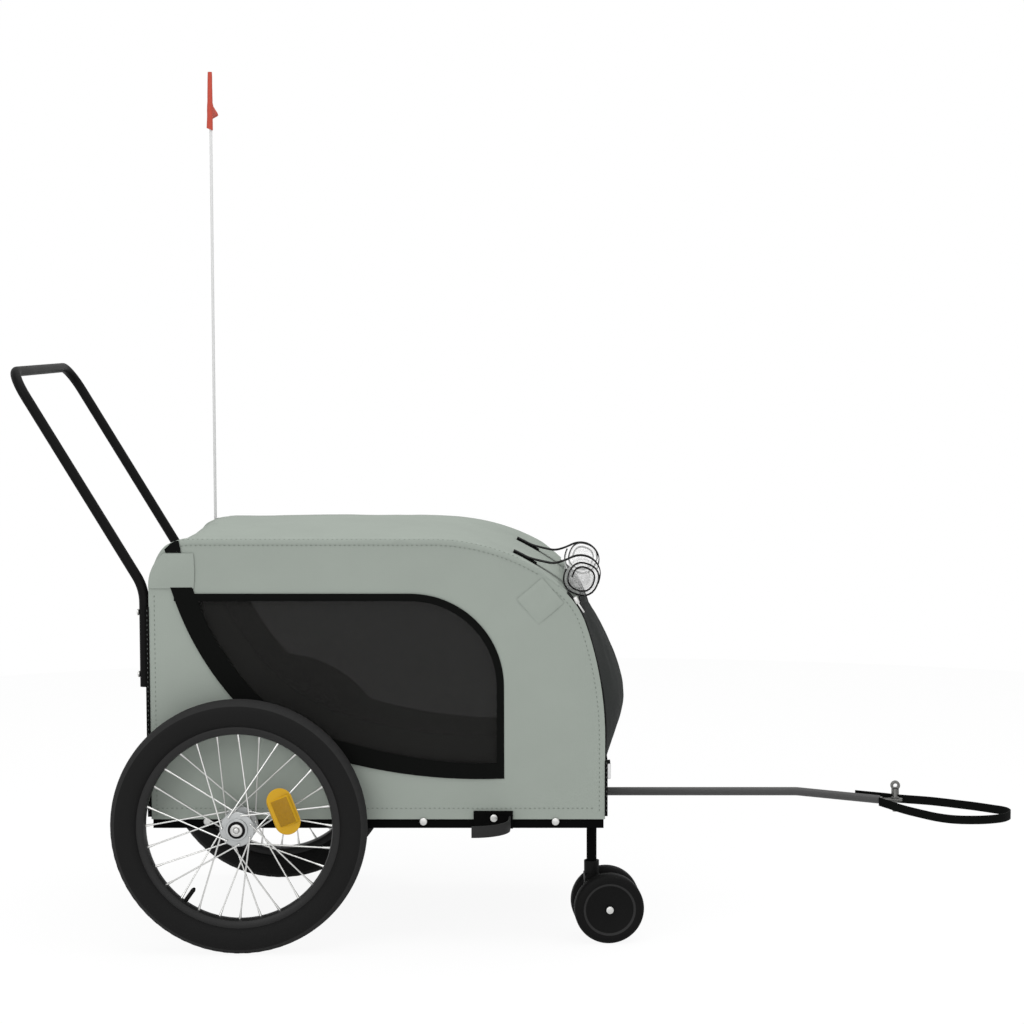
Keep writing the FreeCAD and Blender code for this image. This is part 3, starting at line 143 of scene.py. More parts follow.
def shade(material, inputs):
    """Close a material with one surface shader."""
    shader = add(material, "BsdfPrincipled", inputs)
    add(material, "OutputMaterial", {"Surface": shader.outputs[0]})
    return material


def per(length):
    """The texture scale whose pattern repeats every so many millimetres."""
    return 1000 / length


# %% [markdown]
# ## Light and floor
# A catalogue picture is lit from all round by a white tent, because a sun lamp's shadows are hard.
# Three large discs add light from above, from the rear right and from low by the camera. The floor is
# as white as the tent, and only the ground under the trailer keeps a soft shadow.

# %% Light and floor
scene = bpy.context.scene
scene.view_settings.view_transform = "Standard"
world = bpy.data.worlds.new("tent")
scene.world = world
world.use_nodes = True
world.node_tree.nodes.clear()


def seen(owner):
    """1 for rays that look at a thing from the camera, in a reflection or through glass."""
    path = add(owner, "LightPath")
    looks = [path.outputs[f"Is {kind} Ray"] for kind in ("Camera", "Glossy", "Transmission")]
    either = add(owner, "Math", {0: looks[0], 1: looks[1]}, operation="MAXIMUM").outputs[0]
    return add(owner, "Math", {0: either, 1: looks[2]}, operation="MAXIMUM").outputs[0]


TENT = 0.62  # how strongly the tent lights the trailer; the tent itself is seen as pure white
level = add(world, "MapRange", {"Value": seen(world), "To Min": TENT, "To Max": 1.0})
tent = add(world, "Background", {"Color": srgb("#ffffff"), "Strength": level.outputs[0]})
add(world, "OutputWorld", {"Surface": tent.outputs[0]})

white_floor = blank("white studio floor")
paper = add(white_floor, "BsdfDiffuse", {"Color": srgb("#fafafa")})
glow = add(white_floor, "Emission", {"Color": srgb("#ffffff"), "Strength": 1.0})
GLOW_SHARE = 0.92  # the rest of what is seen is paper, which takes the shadow
share = add(white_floor, "Math", {0: seen(white_floor), 1: GLOW_SHARE}, operation="MULTIPLY")
both = add(white_floor, "MixShader", {0: share.outputs[0], 1: paper.outputs[0], 2: glow.outputs[0]})
add(white_floor, "OutputMaterial", {"Surface": both.outputs[0]})

FLOOR_RADIUS = 3.2
ground = bmesh.new()
bmesh.ops.create_circle(ground, cap_ends=True, segments=96, radius=FLOOR_RADIUS)
ground_mesh = bpy.data.meshes.new("floor")
ground.to_mesh(ground_mesh)
ground.free()
ground_mesh.materials.append(white_floor)
floor = bpy.data.objects.new("floor", ground_mesh)
bpy.context.collection.objects.link(floor)

LIT = Vector((-0.2, 0, 0.4))  # the middle of the cabin, which every lamp faces
# Each lamp has a name, a place and a width in metres, and a power in watts.
LIGHTS = (("roof_light", (0.2, -0.3, 3.4), 3.6, 76), ("key", (-2.2, -3.6, 2.6), 2.6, 58),
          ("fill", (0.1, -4.4, 0.55), 2.6, 20))
for name, place, size, watts in LIGHTS:
    lamp = bpy.data.lights.new(name, "AREA")
    lamp.shape = "DISK"
    lamp.size = size
    lamp.energy = watts
    light = bpy.data.objects.new(name, lamp)
    light.location = place
    light.rotation_euler = (LIT - Vector(place)).to_track_quat("-Z", "Y").to_euler()
    bpy.context.collection.objects.link(light)
print("lights:", [lamp.name for lamp in bpy.data.lights])

# %% [markdown]
# ## Paint, metal, rubber and plastic
# Each breaks up the light in its own way: powder coat has a fine orange peel, bare steel has drawing
# marks, rubber is mottled and moulded plastic has a light grain. Two recipes cover them, a coat and a
# bare metal, with the grain in millimetres. Only the reflector's prisms need a third.

# %% Hard materials
def cloud(made, size, detail, place=None):
    """Noise with features of so many millimetres, over a thing or over given coordinates."""
    place = place or add(made, "TexCoord").outputs["Object"]
    return add(made, "TexNoise", {"Vector": place, "Scale": per(size), "Detail": detail}).outputs["Fac"]


def spread(made, value, centre, reach):
    """A value from 0 to 1 as one from below to above a centre."""
    ends = {"To Min": centre - reach, "To Max": centre + reach}
    return add(made, "MapRange", {"Value": value, **ends}).outputs[0]


def tinted(made, colour, value, reach):
    """A colour made a little lighter and darker by a value."""
    return add(made, "VectorMath", {0: srgb(colour)[:3], "Scale": spread(made, value, 1, reach)},
               operation="SCALE").outputs[0]


def bump(made, height, strength, depth):
    """Relief of so many millimetres, which only the light sees."""
    relief = add(made, "Bump", {"Height": height, "Strength": strength, "Distance": mm(depth)})
    return relief.outputs["Normal"]


def coated(name, colour, roughness, grain, depth, specular=0.1):
    """A coat or moulding whose skin is a fine, even grain that softens the highlights."""
    made = blank(name)
    return shade(made, {"Base Color": srgb(colour), "Specular IOR Level": specular,
                        "Roughness": spread(made, cloud(made, 90, 3.0), roughness, 0.06),
                        "Normal": bump(made, cloud(made, grain, 2.0), 0.35, depth)})


def bare_metal(name, colour, roughness, grain):
    """Drawn or turned metal: its marks spread the reflection, so it looks pale and soft."""
    made = blank(name)
    marks = cloud(made, grain, 4.0)
    tone = add(made, "Mix", {0: marks, 6: srgb(colour), 7: srgb("#ffffff")}, data_type="RGBA",
               blend_type="MULTIPLY")
    return shade(made, {"Base Color": tone.outputs[2], "Metallic": 1.0,
                        "Roughness": spread(made, marks, roughness, 0.1)})


def prisms(name, colour, pitch):
    """A reflector lens: rows of small moulded prisms, each painted a little lighter or darker, a painted glint
    for the part of the light it catches.
    """
    made = blank(name)
    place = add(made, "TexCoord").outputs["Object"]
    cells = add(made, "TexVoronoi", {"Vector": place, "Scale": per(pitch), "Randomness": 0.35}).outputs
    # Each cell's colour is up to 6 per cent lighter or darker: a painted glint.
    return shade(made, {"Base Color": tinted(made, colour, cells["Color"], 0.06), "Roughness": 0.25,
                        "Specular IOR Level": 0.2, "Normal": bump(made, cells["Distance"], 0.5, 0.6)})


# A coat is given its colour, roughness, grain and grain depth in millimetres, and specular level.
FINISHES = {
    # Baked powder coat and a sealed board: deep black, with a highlight too soft to read as gloss.
    "frame_black": coated("black powder coat", "#060606", 0.55, 2.5, 0.15, 0.02),
    "handle_black": coated("black handle tube", "#0d0d0d", 0.5, 2.5, 0.15, 0.06),
    "floor_board": coated("black floor board", "#121212", 0.8, 6, 0.4, 0.05),
    # Moulded plastic and rubber: dull and slightly grey, so the shape reads from its edges alone.
    "plastic_black": coated("black moulded plastic", "#0e0e0e", 0.55, 1.5, 0.1, 0.08),
    "castor_rubber": coated("castor tread rubber", "#101010", 0.62, 2, 0.15, 0.06),
    "tyre_black": coated("tyre rubber", "#191919", 0.7, 3, 0.25, 0.06),
    "tube_rubber": coated("inner tube rubber", "#101010", 0.6, 2, 0.1, 0.06),
    # Anodised alloy, gloss paint and resin: smooth enough for a clear band of light along a tube.
    "rim_black": coated("black anodised rim", "#212121", 0.45, 1.2, 0.05, 0.15),
    "drawbar_grey": coated("dark grey drawbar paint", "#424242", 0.42, 2.5, 0.12, 0.2),
    "bearing_dark": coated("dark bearing seal", "#0e0e0e", 0.5, 1.5, 0.05, 0.08),
    "pole_white": coated("white glass-fibre rod", "#c9c9c9", 0.35, 4, 0.05, 0.3),
    # Plated, turned and drawn metal: pale, because it mirrors the white tent through fine marks.
    "bolt_steel": bare_metal("zinc-plated bolt steel", "#c2c2c0", 0.4, 3),
    "axle_steel": bare_metal("turned axle steel", "#bdbdbb", 0.4, 2),
    "hub_silver": bare_metal("satin hub alloy", "#a9abab", 0.45, 3),
    "spoke_steel": bare_metal("bright spoke wire", "#d0d0ce", 0.35, 4),
    # Moulded acrylic: deep amber, broken into small cells, each with a painted glint.
    "reflector_amber": prisms("amber reflector lens", "#8f6a0c", 2.6),
}
print(len(FINISHES), "hard materials")

# %% [markdown]
# ## Cloth
# The cabin is woven polyester with a matt face. The weave is finer than a picture can show, so it is
# drawn three times as coarse. Net is the same weave made partly clear, because real holes would only
# flicker at this distance.

# %% Cloth materials
WEAVE = 1.9  # thread spacing in millimetres, drawn coarser than the real 0.6
WAVE_UNIT = 6.2832 / 40  # the Wave texture's scale for one band per unit


def woven(name, colour, roughness, depth, opacity=1.0):
    """Plain weave: threads over and under in two directions, from the cloth's own coordinates."""
    made = blank(name)
    place = add(made, "UVMap", uv_map="cloth").outputs[0]
    warp, weft = (add(made, "TexWave", {"Vector": place, "Scale": per(WEAVE) * WAVE_UNIT},
                      bands_direction=way).outputs["Fac"] for way in "XY")
    weave = add(made, "Math", {0: warp, 1: weft}, operation="MULTIPLY").outputs[0]
    tone = tinted(made, colour, cloud(made, 140, 3.0, place), 0.07)
    return shade(made, {"Base Color": tone, "Roughness": roughness, "Specular IOR Level": 0.08,
                        "Normal": bump(made, weave, 0.3, depth), "Alpha": opacity})


# Matt woven cloth: an even tone with no highlight, a little blotchy where it was folded.
FINISHES["fabric_sage"] = woven("sage polyester", "#8d948d", 0.9, 0.1)
FINISHES["fabric_black"] = woven("black binding tape", "#060706", 0.85, 0.15)
# Net: a dark veil through which the far side of the cabin just shows.
FINISHES["mesh_black"] = woven("black window mesh", "#222221", 0.9, 0.05, opacity=0.68)
FINISHES["pennant_orange"] = woven("orange flag nylon", "#ae4b3e", 0.7, 0.2)
# Calendered film: nearly clear, and pale where many turns lie behind one another.
FINISHES["clear_pvc"] = shade(blank("clear PVC sheet"),
                              {"Base Color": srgb("#fbfcfb"), "Roughness": 0.2, "Alpha": 0.2})

slots = {entry["node"]: entry["material_slot"] for entry in frame["record"]["subparts"]}
for node, slot in slots.items():
    nodes[node].data.materials.clear()
    nodes[node].data.materials.append(FINISHES[slot])
print(len(FINISHES), "materials in all")

# %% [markdown]
# ## Shaping cloth
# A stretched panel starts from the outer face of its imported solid, is cut into a lattice so that it
# has points enough to crease, and goes a little slack. A cloth simulation could do this too, but it
# would drift off the hoops that the cloth is sewn to.

# %% Shaping cloth
def solid(node):
    """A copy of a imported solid, with its points joined."""
    bm = bmesh.new()
    bm.from_mesh(nodes[node].data)
    bmesh.ops.remove_doubles(bm, verts=bm.verts, dist=mm(0.02))
    return bm


def skin(node, keep):
    """The faces of a node that the test picks, as one skin."""
    bm = solid(node)
    bmesh.ops.delete(bm, geom=[face for face in bm.faces if not keep(face)], context="FACES")
    return bm


def outer(node, out):
    """The skin of a node that faces one way."""
    return skin(node, lambda face: face.normal.dot(out) > 0.5)


def cut(bm, place, normal, clear=False):
    """Cut a skin along a plane, and drop what lies beyond it if asked."""
    bmesh.ops.bisect_plane(bm, geom=bm.verts[:] + bm.edges[:] + bm.faces[:], dist=mm(0.01),
                           plane_co=place, plane_no=normal, clear_outer=clear)


def lattice(bm, pitch, axes):
    """Cut a skin along evenly spaced planes across the axes."""
    for axis in axes:
        normal = Vector([float(i == axis) for i in range(3)])
        low, high = (pick(v.co[axis] for v in bm.verts) for pick in (min, max))
        for i in range(1, int((high - low) / mm(pitch)) + 1):
            cut(bm, normal * (low + i * mm(pitch)), normal)


def edge_distance(bm):
    """How far each point of a skin lies from the nearest edge of the skin."""
    border = list(dict.fromkeys(v for e in bm.edges if e.is_boundary for v in e.verts))
    tree = KDTree(len(border))
    for i, v in enumerate(border):
        tree.insert(v.co, i)
    tree.balance()
    return [tree.find(v.co)[2] for v in bm.verts]


def slacken(bm, depth, size, hold, seed=0.0):
    """Let a skin swell and sag softly by so many millimetres, held flat along its sewn edges."""
    bm.normal_update()
    for v, far in zip(bm.verts, edge_distance(bm)):
        share = min(1, far / mm(hold))
        ease = share ** 2 * (3 - 2 * share)
        swell = noise.fractal(v.co / mm(size) + Vector((seed, 0, 0)), 0.7, 2.0, 3)
        v.co += v.normal * mm(depth) * ease * swell


def ramp(value, low, high):
    """How far a length lies from one place to another in millimetres, as a share from 0 to 1."""
    return min(1, max(0, (value - mm(low)) / mm(high - low)))


# %% [markdown]
# ## Lines along an edge
# Bindings and stitches follow the cut edge of a panel. The edge is read off the skin as a ring of
# points, and a line along it is divided evenly, as a sewing machine divides it into stitches.

# %% Lines along an edge
def rings(bm):
    """The edges of a skin as closed rings of points, the longest first."""
    left = dict.fromkeys(e for e in bm.edges if e.is_boundary)
    found = []
    while left:
        first = next(iter(left))
        del left[first]
        ring = list(first.verts)
        while True:
            step = next((e for e in ring[-1].link_edges if e in left), None)
            if step is None:
                break
            del left[step]
            ring.append(step.other_vert(ring[-1]))
        found.append([v.co.copy() for v in ring[:-1]])
    return sorted(found, key=lambda ring: -sum((a - b).length for a, b in zip(ring, ring[1:])))


def spaced(points, pitch):
    """Evenly spaced places along an open line of points."""
    places, carry = [points[0].copy()], mm(pitch)
    for a, b in zip(points, points[1:]):
        span, done = (b - a).length, 0.0
        while span - done >= carry:
            done += carry
            places.append(a.lerp(b, done / span))
            carry = mm(pitch)
        carry -= span - done
    return places


# %% [markdown]
# ## From a skin to a piece
# A finished skin becomes a mesh that rides on one body of the trailer and stands for the solid that
# it dresses. Its cut edges stay sharp, and a Solidify modifier gives it the thickness of the cloth.

# %% From a skin to a piece
CLOTH = 1.6  # the thickness of the cabin's cloth with its lining, in millimetres


def lay_cloth(bm):
    """Give a cloth its own coordinates in metres, so that the weave has one size everywhere."""
    layer = bm.loops.layers.uv.get("cloth") or bm.loops.layers.uv.new("cloth")
    bm.normal_update()
    for face in bm.faces:
        flat = max(range(3), key=lambda i: abs(face.normal[i]))
        axes = [i for i in range(3) if i != flat]
        for loop in face.loops:
            loop[layer].uv = [loop.vert.co[i] for i in axes]


def piece(name, bm, slot, body, *replaced, finish=None, sharp=50):
    """Turn a bmesh into a piece that rides on a body, in place of the nodes it dresses."""
    lay_cloth(bm)
    bm.edges.index_update()
    border = [edge.index for edge in bm.edges if edge.is_boundary]
    mesh = bpy.data.meshes.new(name)
    bm.to_mesh(mesh)
    bm.free()
    mesh.shade_smooth()
    mesh.set_sharp_from_angle(angle=math.radians(sharp))
    for i in border:
        mesh.edges[i].use_edge_sharp = True
    mesh.materials.append(finish or FINISHES[slot])
    made = bpy.data.objects.new(name, mesh)
    bpy.context.collection.objects.link(made)
    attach(made, body)
    if replaced:
        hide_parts(*replaced)
    return made


def area(bm):
    """The area of a skin in square metres."""
    return sum(face.calc_area() for face in bm.faces)


def thicken(made, thickness, offset=-1):
    """Give a skin its thickness in millimetres, inwards from its face."""
    wall = made.modifiers.new("thickness", "SOLIDIFY")
    wall.thickness = mm(thickness)
    wall.offset = offset
    return made


def sew(name, bm, slot, body, *replaced, flat, held="stretched", cloth=None, thickness=CLOTH, offset=-1,
        finish=None):
    """Make a skin a sheet of cloth with its thickness. Its flat size in metres is not used."""
    made = thicken(piece(name, bm, slot, body, *replaced, finish=finish), thickness, offset)
    return made


# %% [markdown]
# ## Tape and thread
# Binding tape, webbing and edging are all strips: two lines side by side, bridged. A stitch is one
# short rounded thread, repeated along its seam, with only 20 faces because there are thousands.

# %% Tape and thread
NARROWEST = 10  # a tape under this width in millimetres is a wider one folded over an edge


def strip(line, sides):
    """A flat strip between the lines that lie a given way from each point of a line."""
    bm = bmesh.new()
    edges = []
    for way in (0, 1):
        points = [bm.verts.new(point + side[way]) for point, side in zip(line, sides)]
        edges += [bm.edges.new(pair) for pair in zip(points, points[1:])]
    bmesh.ops.bridge_loops(bm, edges=edges)
    bmesh.ops.recalc_face_normals(bm, faces=bm.faces)
    return bm


def ribbon(name, line, sides, thickness, *replaced, held="stretched", top=None):
    """Black tape or webbing along a line, cut off level at a height if asked."""
    bm = strip(line, sides)
    if top:
        cut(bm, Vector((0, 0, mm(top))), Vector((0, 0, 1)), clear=True)
    width, tape = max((b - a).length for a, b in sides), area(bm)
    cut_width = width + mm(thickness)
    return sew(name, bm, "fabric_black", "chassis", *replaced, held=held, thickness=thickness, offset=0,
               flat=(max(cut_width, mm(NARROWEST)), tape / width), cloth=tape * cut_width / width)


def stitch(rows, length=4.0, pitch=7.5, width=1.1):
    """Lockstitches along rows of sewing, each with the way out of its cloth, all in one mesh."""
    bm = bmesh.new()
    size = Matrix.Diagonal((mm(length / 2), mm(width / 2), mm(width / 2), 1))
    for out, line in rows:
        places = spaced(line, pitch)
        for a, b in zip(places, places[1:]):
            ahead = (b - a).normalized()
            turn = Matrix((ahead, out.cross(ahead), out)).transposed().to_4x4()
            bmesh.ops.create_icosphere(bm, subdivisions=1, radius=1,
                                       matrix=Matrix.Translation((a + b) / 2) @ turn @ size)
    return bm


# %% [markdown]
# ## The side panels
# Each side is one cut of cloth with a big window, pulled tight over the hoop, so it only swells a
# millimetre or two and stays flat where the binding is sewn on. One soft upright fold shows in front
# of the window, where the cloth hangs from the brow.

# %% Side panels
SIDE_FLAT = (0.714, 0.435)
FOLD_PLACE, FOLD_WIDTH, FOLD_HEIGHT = 421, 17, 1.8
outline, window = {}, {}
for hand, sign in SIDES.items():
    out = Vector((0, sign, 0))
    bm = outer(f"side_panel_{hand}", out)
    outline[hand], window[hand] = rings(bm)[:2]
    lattice(bm, 13, (0, 2))
    cloth = area(bm)
    slacken(bm, 2.0, 170, 70, seed=sign)
    for v in bm.verts:
        fold = math.exp(-((v.co.x - AXLE - mm(FOLD_PLACE)) / mm(FOLD_WIDTH)) ** 2)
        v.co += out * mm(FOLD_HEIGHT) * fold * ramp(v.co.z, 225, 270) * (1 - ramp(v.co.z, 430, 520))
    panel = sew(f"side_cloth_{hand}", bm, "fabric_sage", "chassis", f"side_panel_{hand}", flat=SIDE_FLAT,
                cloth=cloth)
    print(panel.name, round(cloth, 3), "m2", len(outline[hand]), len(window[hand]), "edge points")

# %% [markdown]
# ## Windows
# Black net is sewn behind each opening, and a black binding hides the cut edge: a narrow tape along
# the top and front, and a broad one along the sweeping sill, trimmed level at the top. The tapes are
# strips laid on the window's own edge, so they can't drift.

# %% Across a line
def perpendicular(line, towards):
    """At each point of a line in the side plane, the direction across it that faces a place."""
    ways = []
    for i, point in enumerate(line):
        ahead = line[min(i + 1, len(line) - 1)] - line[max(i - 1, 0)]
        way = Vector((-ahead.z, 0, ahead.x)).normalized()
        ways.append(way if way.dot(towards - point) > 0 else -way)
    return ways


# %% Windows
NET_FLAT = (0.534, 0.31)
NET_SAG, SAG_REACH = 5, 130
TAPE_LAP, SILL_TOP = 1.5, 570.5
for hand, sign in SIDES.items():
    out = Vector((0, sign, 0))
    bm = outer(f"window_mesh_{hand}", out)
    lattice(bm, 16, (0, 2))
    net_area = area(bm)
    for v, far in zip(bm.verts, edge_distance(bm)):
        v.co -= out * mm(NET_SAG) * min(1, far / mm(SAG_REACH)) ** 0.8
    sew(f"window_net_{hand}", bm, "mesh_black", "chassis", f"window_mesh_{hand}", flat=NET_FLAT,
        cloth=net_area, thickness=0.6)

    ring = window[hand]
    start = max(range(len(ring)), key=lambda i: ring[i].z - ring[i].x)
    ring = ring[start:] + ring[:start]
    if ring[1].x - ring[0].x < mm(1) or ring[1].z < ring[0].z - mm(1):
        ring = ring[:1] + ring[:0:-1]
    low = max(range(len(ring)), key=lambda i: ring[i].x - ring[i].z)
    heart = sum(ring, Vector()) / len(ring)
    head, sill = spaced(ring[:low + 1], 8), spaced(ring[low:] + ring[:1], 8)
    rise = (sill[-1] - sill[-2]).normalized()
    sill[0] += Vector((mm(TAPE_LAP), 0, 0))
    sill += [sill[-1] + rise * mm(step) for step in (8, 16, 24)]
    for part, line, width, growth, lift, top in (("head", head, 10, 0, 0.9, None),
                                                 ("sill", sill, 22, 9, 1.2, SILL_TOP)):
        widths = [width + growth * min(1, 2.2 * (i / (len(line) - 1))) for i in range(len(line))]
        sides = [(-way * mm(TAPE_LAP), way * mm(w)) for way, w in zip(perpendicular(line, heart), widths)]
        lifted = [point + out * mm(lift) for point in line]
        ribbon(f"window_{part}_tape_{hand}", lifted, sides, 2.2, top=top)
print("window binding fitted")

# %% [markdown]
# ## Roof
# The roof is one sheet from the rear panel to the brow. It stands up 8 mm in a sewn lip along both
# sides and drops behind the rear hoop, where nothing carries it. The lip's section is a short table,
# and the skin is cut along it before its points are moved, so that the fold stays crisp.

# %% Roof
ROOF_FLAT = (0.456, 0.741)
REAR_BOW = AXLE - mm(60)
CROWN, REAR_DROP = mm(21), mm(33)
# The lip: distance in from the edge, place across the cabin and rise, in millimetres.
LIP = ((0.0, 229.7, -3.0), (0.9, 230.8, -1.0), (2.9, 230.6, 6.0), (4.5, 229.3, 7.6), (7.9, None, 8.0))
BEHIND_LIP, LIP_RISE = 16, 8
# Stretches along the trailer: the lip grows in the first, flattens in the second, ends in the third.
LIP_GROWS, LIP_FLATTENS, LIP_ENDS = (-136, -114), (350, 440), (462, 520)
DROP_REACH, SLOPE, SLOPE_LOSS = 38, 190, 150
cabin = Vector((AXLE + mm(200), 0, 0.4))


def roof_face(face):
    """Whether a face of the roof looks up or out, away from the middle of the cabin."""
    outwards = face.normal.dot(face.calc_center_median() - cabin) > 0
    return outwards and face.normal.z > -0.05 and abs(face.normal.y) < 0.8


bm = skin("roof_panel", roof_face)
roof_area = area(bm)
half = max(abs(v.co.y) for v in bm.verts)
for inside in [row[0] for row in LIP[1:]] + [BEHIND_LIP]:
    for sign in (-1, 1):
        cut(bm, Vector((0, sign * (half - mm(inside)), 0)), Vector((0, 1, 0)))
lattice(bm, 13, (0, 1))
foot = min(v.co.z for v in bm.verts)
bm.normal_update()
for v in bm.verts:
    behind = ramp(REAR_BOW - v.co.x, 0, DROP_REACH) ** 1.3
    crown = CROWN * (1 - (v.co.y / half) ** 2)
    v.co.z -= behind * crown * min(1, (v.co.z - foot) / (REAR_DROP + crown))
    inside = half - abs(v.co.y)
    ends = max(behind, ramp(v.co.x - AXLE, *LIP_FLATTENS))
    slope = mm(SLOPE - SLOPE_LOSS * ends)
    rise, wide = LIP_RISE * (1 - min(1, inside / slope)), abs(v.co.y)
    for (near, y0, z0), (far, y1, z1) in zip(LIP, LIP[1:]):
        if mm(near) - 1e-6 <= inside <= mm(far):
            share, y1 = ramp(inside, near, far), mm(y1) if y1 else half - mm(far)
            rise, wide = z0 + (z1 - z0) * share, mm(y0) + (y1 - mm(y0)) * share
    held = ramp(v.co.x - AXLE, *LIP_GROWS) * (1 - ramp(v.co.x - AXLE, *LIP_ENDS))
    v.co += v.normal * mm(rise) * held
    v.co.y = math.copysign(abs(v.co.y) + (wide - abs(v.co.y)) * held, v.co.y)
slacken(bm, 1.4, 150, 60, seed=5)
roof = sew("roof_cloth", bm, "fabric_sage", "chassis", "roof_panel", flat=ROOF_FLAT,
           cloth=min(roof_area, math.prod(ROOF_FLAT)))
print("roof", round(roof_area, 3), "m2")

# %% [markdown]
# ## Front and rear
# The front is a frame of cloth round the doorway, and the rear is one plain panel. Both are held on
# all sides, so they are made as the side panels are, from the outer face of their solids.

# %% Front and rear cloth
def front_face(face):
    """Whether a face of the front panel looks forwards."""
    return face.normal.x > 0.1 and abs(face.normal.y) < 0.8


for name, node, keep, flat in (("front_cloth", "front_panel", front_face, (0.456, 0.4)),
                               ("rear_cloth", "rear_panel", lambda f: f.normal.x < -0.9, (0.456, 0.337))):
    bm = skin(node, keep)
    cloth = area(bm)
    lattice(bm, 15, (1, 2))
    slacken(bm, 1.5, 120, 50, seed=9)
    sew(name, bm, "fabric_sage", "chassis", node, flat=flat, cloth=min(cloth, math.prod(flat)))
    print(name, round(cloth, 3), "m2")

# %% [markdown]
# ## The door
# The door is a curtain of net with a black hem, zipped along both sides. It bulges, and its own
# weight pulls the bulge down. An inset draws the hem inside the outline, so the door keeps its size.
# The zip tapes stay on the front panel when the door swings up.

# %% Door
DOOR_FLAT = (0.375, 0.29)
HEM, SINK = 8, 5.5
bm = skin("front_door", lambda f: f.normal.x > 0.25 and abs(f.normal.y) < 0.8)
door_area = area(bm)
hem = bmesh.ops.inset_region(bm, faces=bm.faces[:], use_boundary=True, use_even_offset=True,
                             thickness=mm(HEM))
for face in hem["faces"]:
    face.material_index = 1
lattice(bm, 15, (1, 2))
slacken(bm, 2.0, 90, 50, seed=3)
low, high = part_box("front_door")
for v in bm.verts:
    height = (v.co.z - low.z) / (high.z - low.z)
    v.co.x += mm(SINK) * math.sin(2 * math.pi * height) * (1 - (v.co.y / high.y) ** 2)
# Padded net: closer than the windows' and a shade paler, so nothing shows through.
DOOR_NET = woven("black door mesh", "#2c2e2d", 0.9, 0.12)
door = sew("door_net", bm, "mesh_black", "front_door", "front_door", flat=DOOR_FLAT, finish=DOOR_NET,
           cloth=min(door_area, math.prod(DOOR_FLAT)), thickness=1.5)
door.data.materials.append(FINISHES["fabric_black"])
print("door", round(door_area, 3), "m2")

# %% Door zip tapes
ZIP_INNER, ZIP_TOP, ZIP_FOOT, ZIP_WIDTH = 188, 560, 262, 0.042
for hand, sign in SIDES.items():
    bm = skin("front_panel", front_face)
    cut(bm, at(0, sign * ZIP_INNER, 0), (0, -sign, 0), clear=True)
    cut(bm, at(0, 0, ZIP_TOP), (0, 0, 1), clear=True)
    cut(bm, at(0, 0, ZIP_FOOT), (0, 0, -1), clear=True)
    lattice(bm, 15, (2,))
    bm.normal_update()
    for v in bm.verts:
        v.co += v.normal * mm(1.4)
    tape = area(bm)
    zip_tape = sew(f"door_zip_tape_{hand}", bm, "fabric_black", "chassis", thickness=1.2,
                   flat=(ZIP_WIDTH, tape / ZIP_WIDTH))
    print(zip_tape.name, round(tape, 4), "m2")

# %% [markdown]
# ## Corner patches
# Where the hoops press, a second layer of cloth is sewn on: a diamond at the brow, which is a grid,
# and a square one at the rear, cut from the side panel's own skin so that it lies on it. A small
# black sheet fills the gap above it, under the roof.

# %% Corner patches
PATCH_FRONT, PATCH_TOP, PATCH_FOOT = -72, 624, 569
BROW, BROW_TURN, BROW_HALF = (469.7, 231.4, 549), -40.6, 26
GAP_FOOT = ((-115, 625), (-107, 625), (-99, 625), (-91, 625))
GAP_TOP = ((-117, 630), (-107, 639.5), (-100, 643.5), (-94.5, 644))
GAP_OUT = 231.9
patches = []
for hand, sign in SIDES.items():
    out = Vector((0, sign, 0))
    bm = outer(f"side_panel_{hand}", out)
    cut(bm, at(PATCH_FRONT, 0, 0), (1, 0, 0), clear=True)
    cut(bm, at(0, 0, PATCH_TOP), (0, 0, 1), clear=True)
    cut(bm, at(0, 0, PATCH_FOOT), (0, 0, -1), clear=True)
    lattice(bm, 7, (0, 2))
    for v, far in zip(bm.verts, edge_distance(bm)):
        bow = 1 - (2 * ramp(v.co.z, PATCH_FOOT, PATCH_TOP) - 1) ** 2
        v.co += out * (mm(1.9) + mm(1.6) * min(1, far / mm(16)))
        v.co.x += mm(1.2) * bow * ramp(v.co.x - AXLE, -130, PATCH_FRONT)
    wrap = sew(f"rear_patch_{hand}", bm, "fabric_sage", "chassis", flat=(0.071, 0.055), cloth=0.0036,
               thickness=1.8)

    bm = bmesh.new()
    turn = Matrix.Rotation(math.radians(BROW_TURN), 4, "Y") @ Matrix.Rotation(math.radians(90), 4, "X")
    bmesh.ops.create_grid(bm, x_segments=12, y_segments=12, size=mm(BROW_HALF), matrix=turn)
    bmesh.ops.translate(bm, verts=bm.verts, vec=at(BROW[0], sign * BROW[1], BROW[2]))
    for v, far in zip(bm.verts, edge_distance(bm)):
        v.co += out * mm(1.2) * (min(1, far / mm(8)) + 0.5 * noise.noise(v.co / mm(9)))
    bmesh.ops.recalc_face_normals(bm, faces=bm.faces)
    if next(iter(bm.faces)).normal.dot(out) < 0:
        bmesh.ops.reverse_faces(bm, faces=bm.faces)
    replaced = ["corner_tabs"] if hand == "right" else []
    diamond = sew(f"brow_patch_{hand}", bm, "fabric_sage", "chassis", *replaced, flat=(0.052, 0.052))
    patches += [wrap, diamond]

    gap, tops = ([at(x, sign * GAP_OUT, z) for x, z in row] for row in (GAP_FOOT, GAP_TOP))
    ribbon(f"corner_gap_{hand}", gap, [(Vector(), high - low) for low, high in zip(gap, tops)], 0.8)
print([made.name for made in patches])

# %% [markdown]
# ## Edgings and seams
# Black tape closes the rear edge and the foot of the front edge, sewn with paler thread. Sage thread
# runs in a row inside every edge of the side panels. Both are laid out from the panel's own outline.

# %% A side panel's edges
LOW_REAR = at(-143, 0, 203)
NOSE, SHOULDER, SILL_REACH = 540, 200, 300


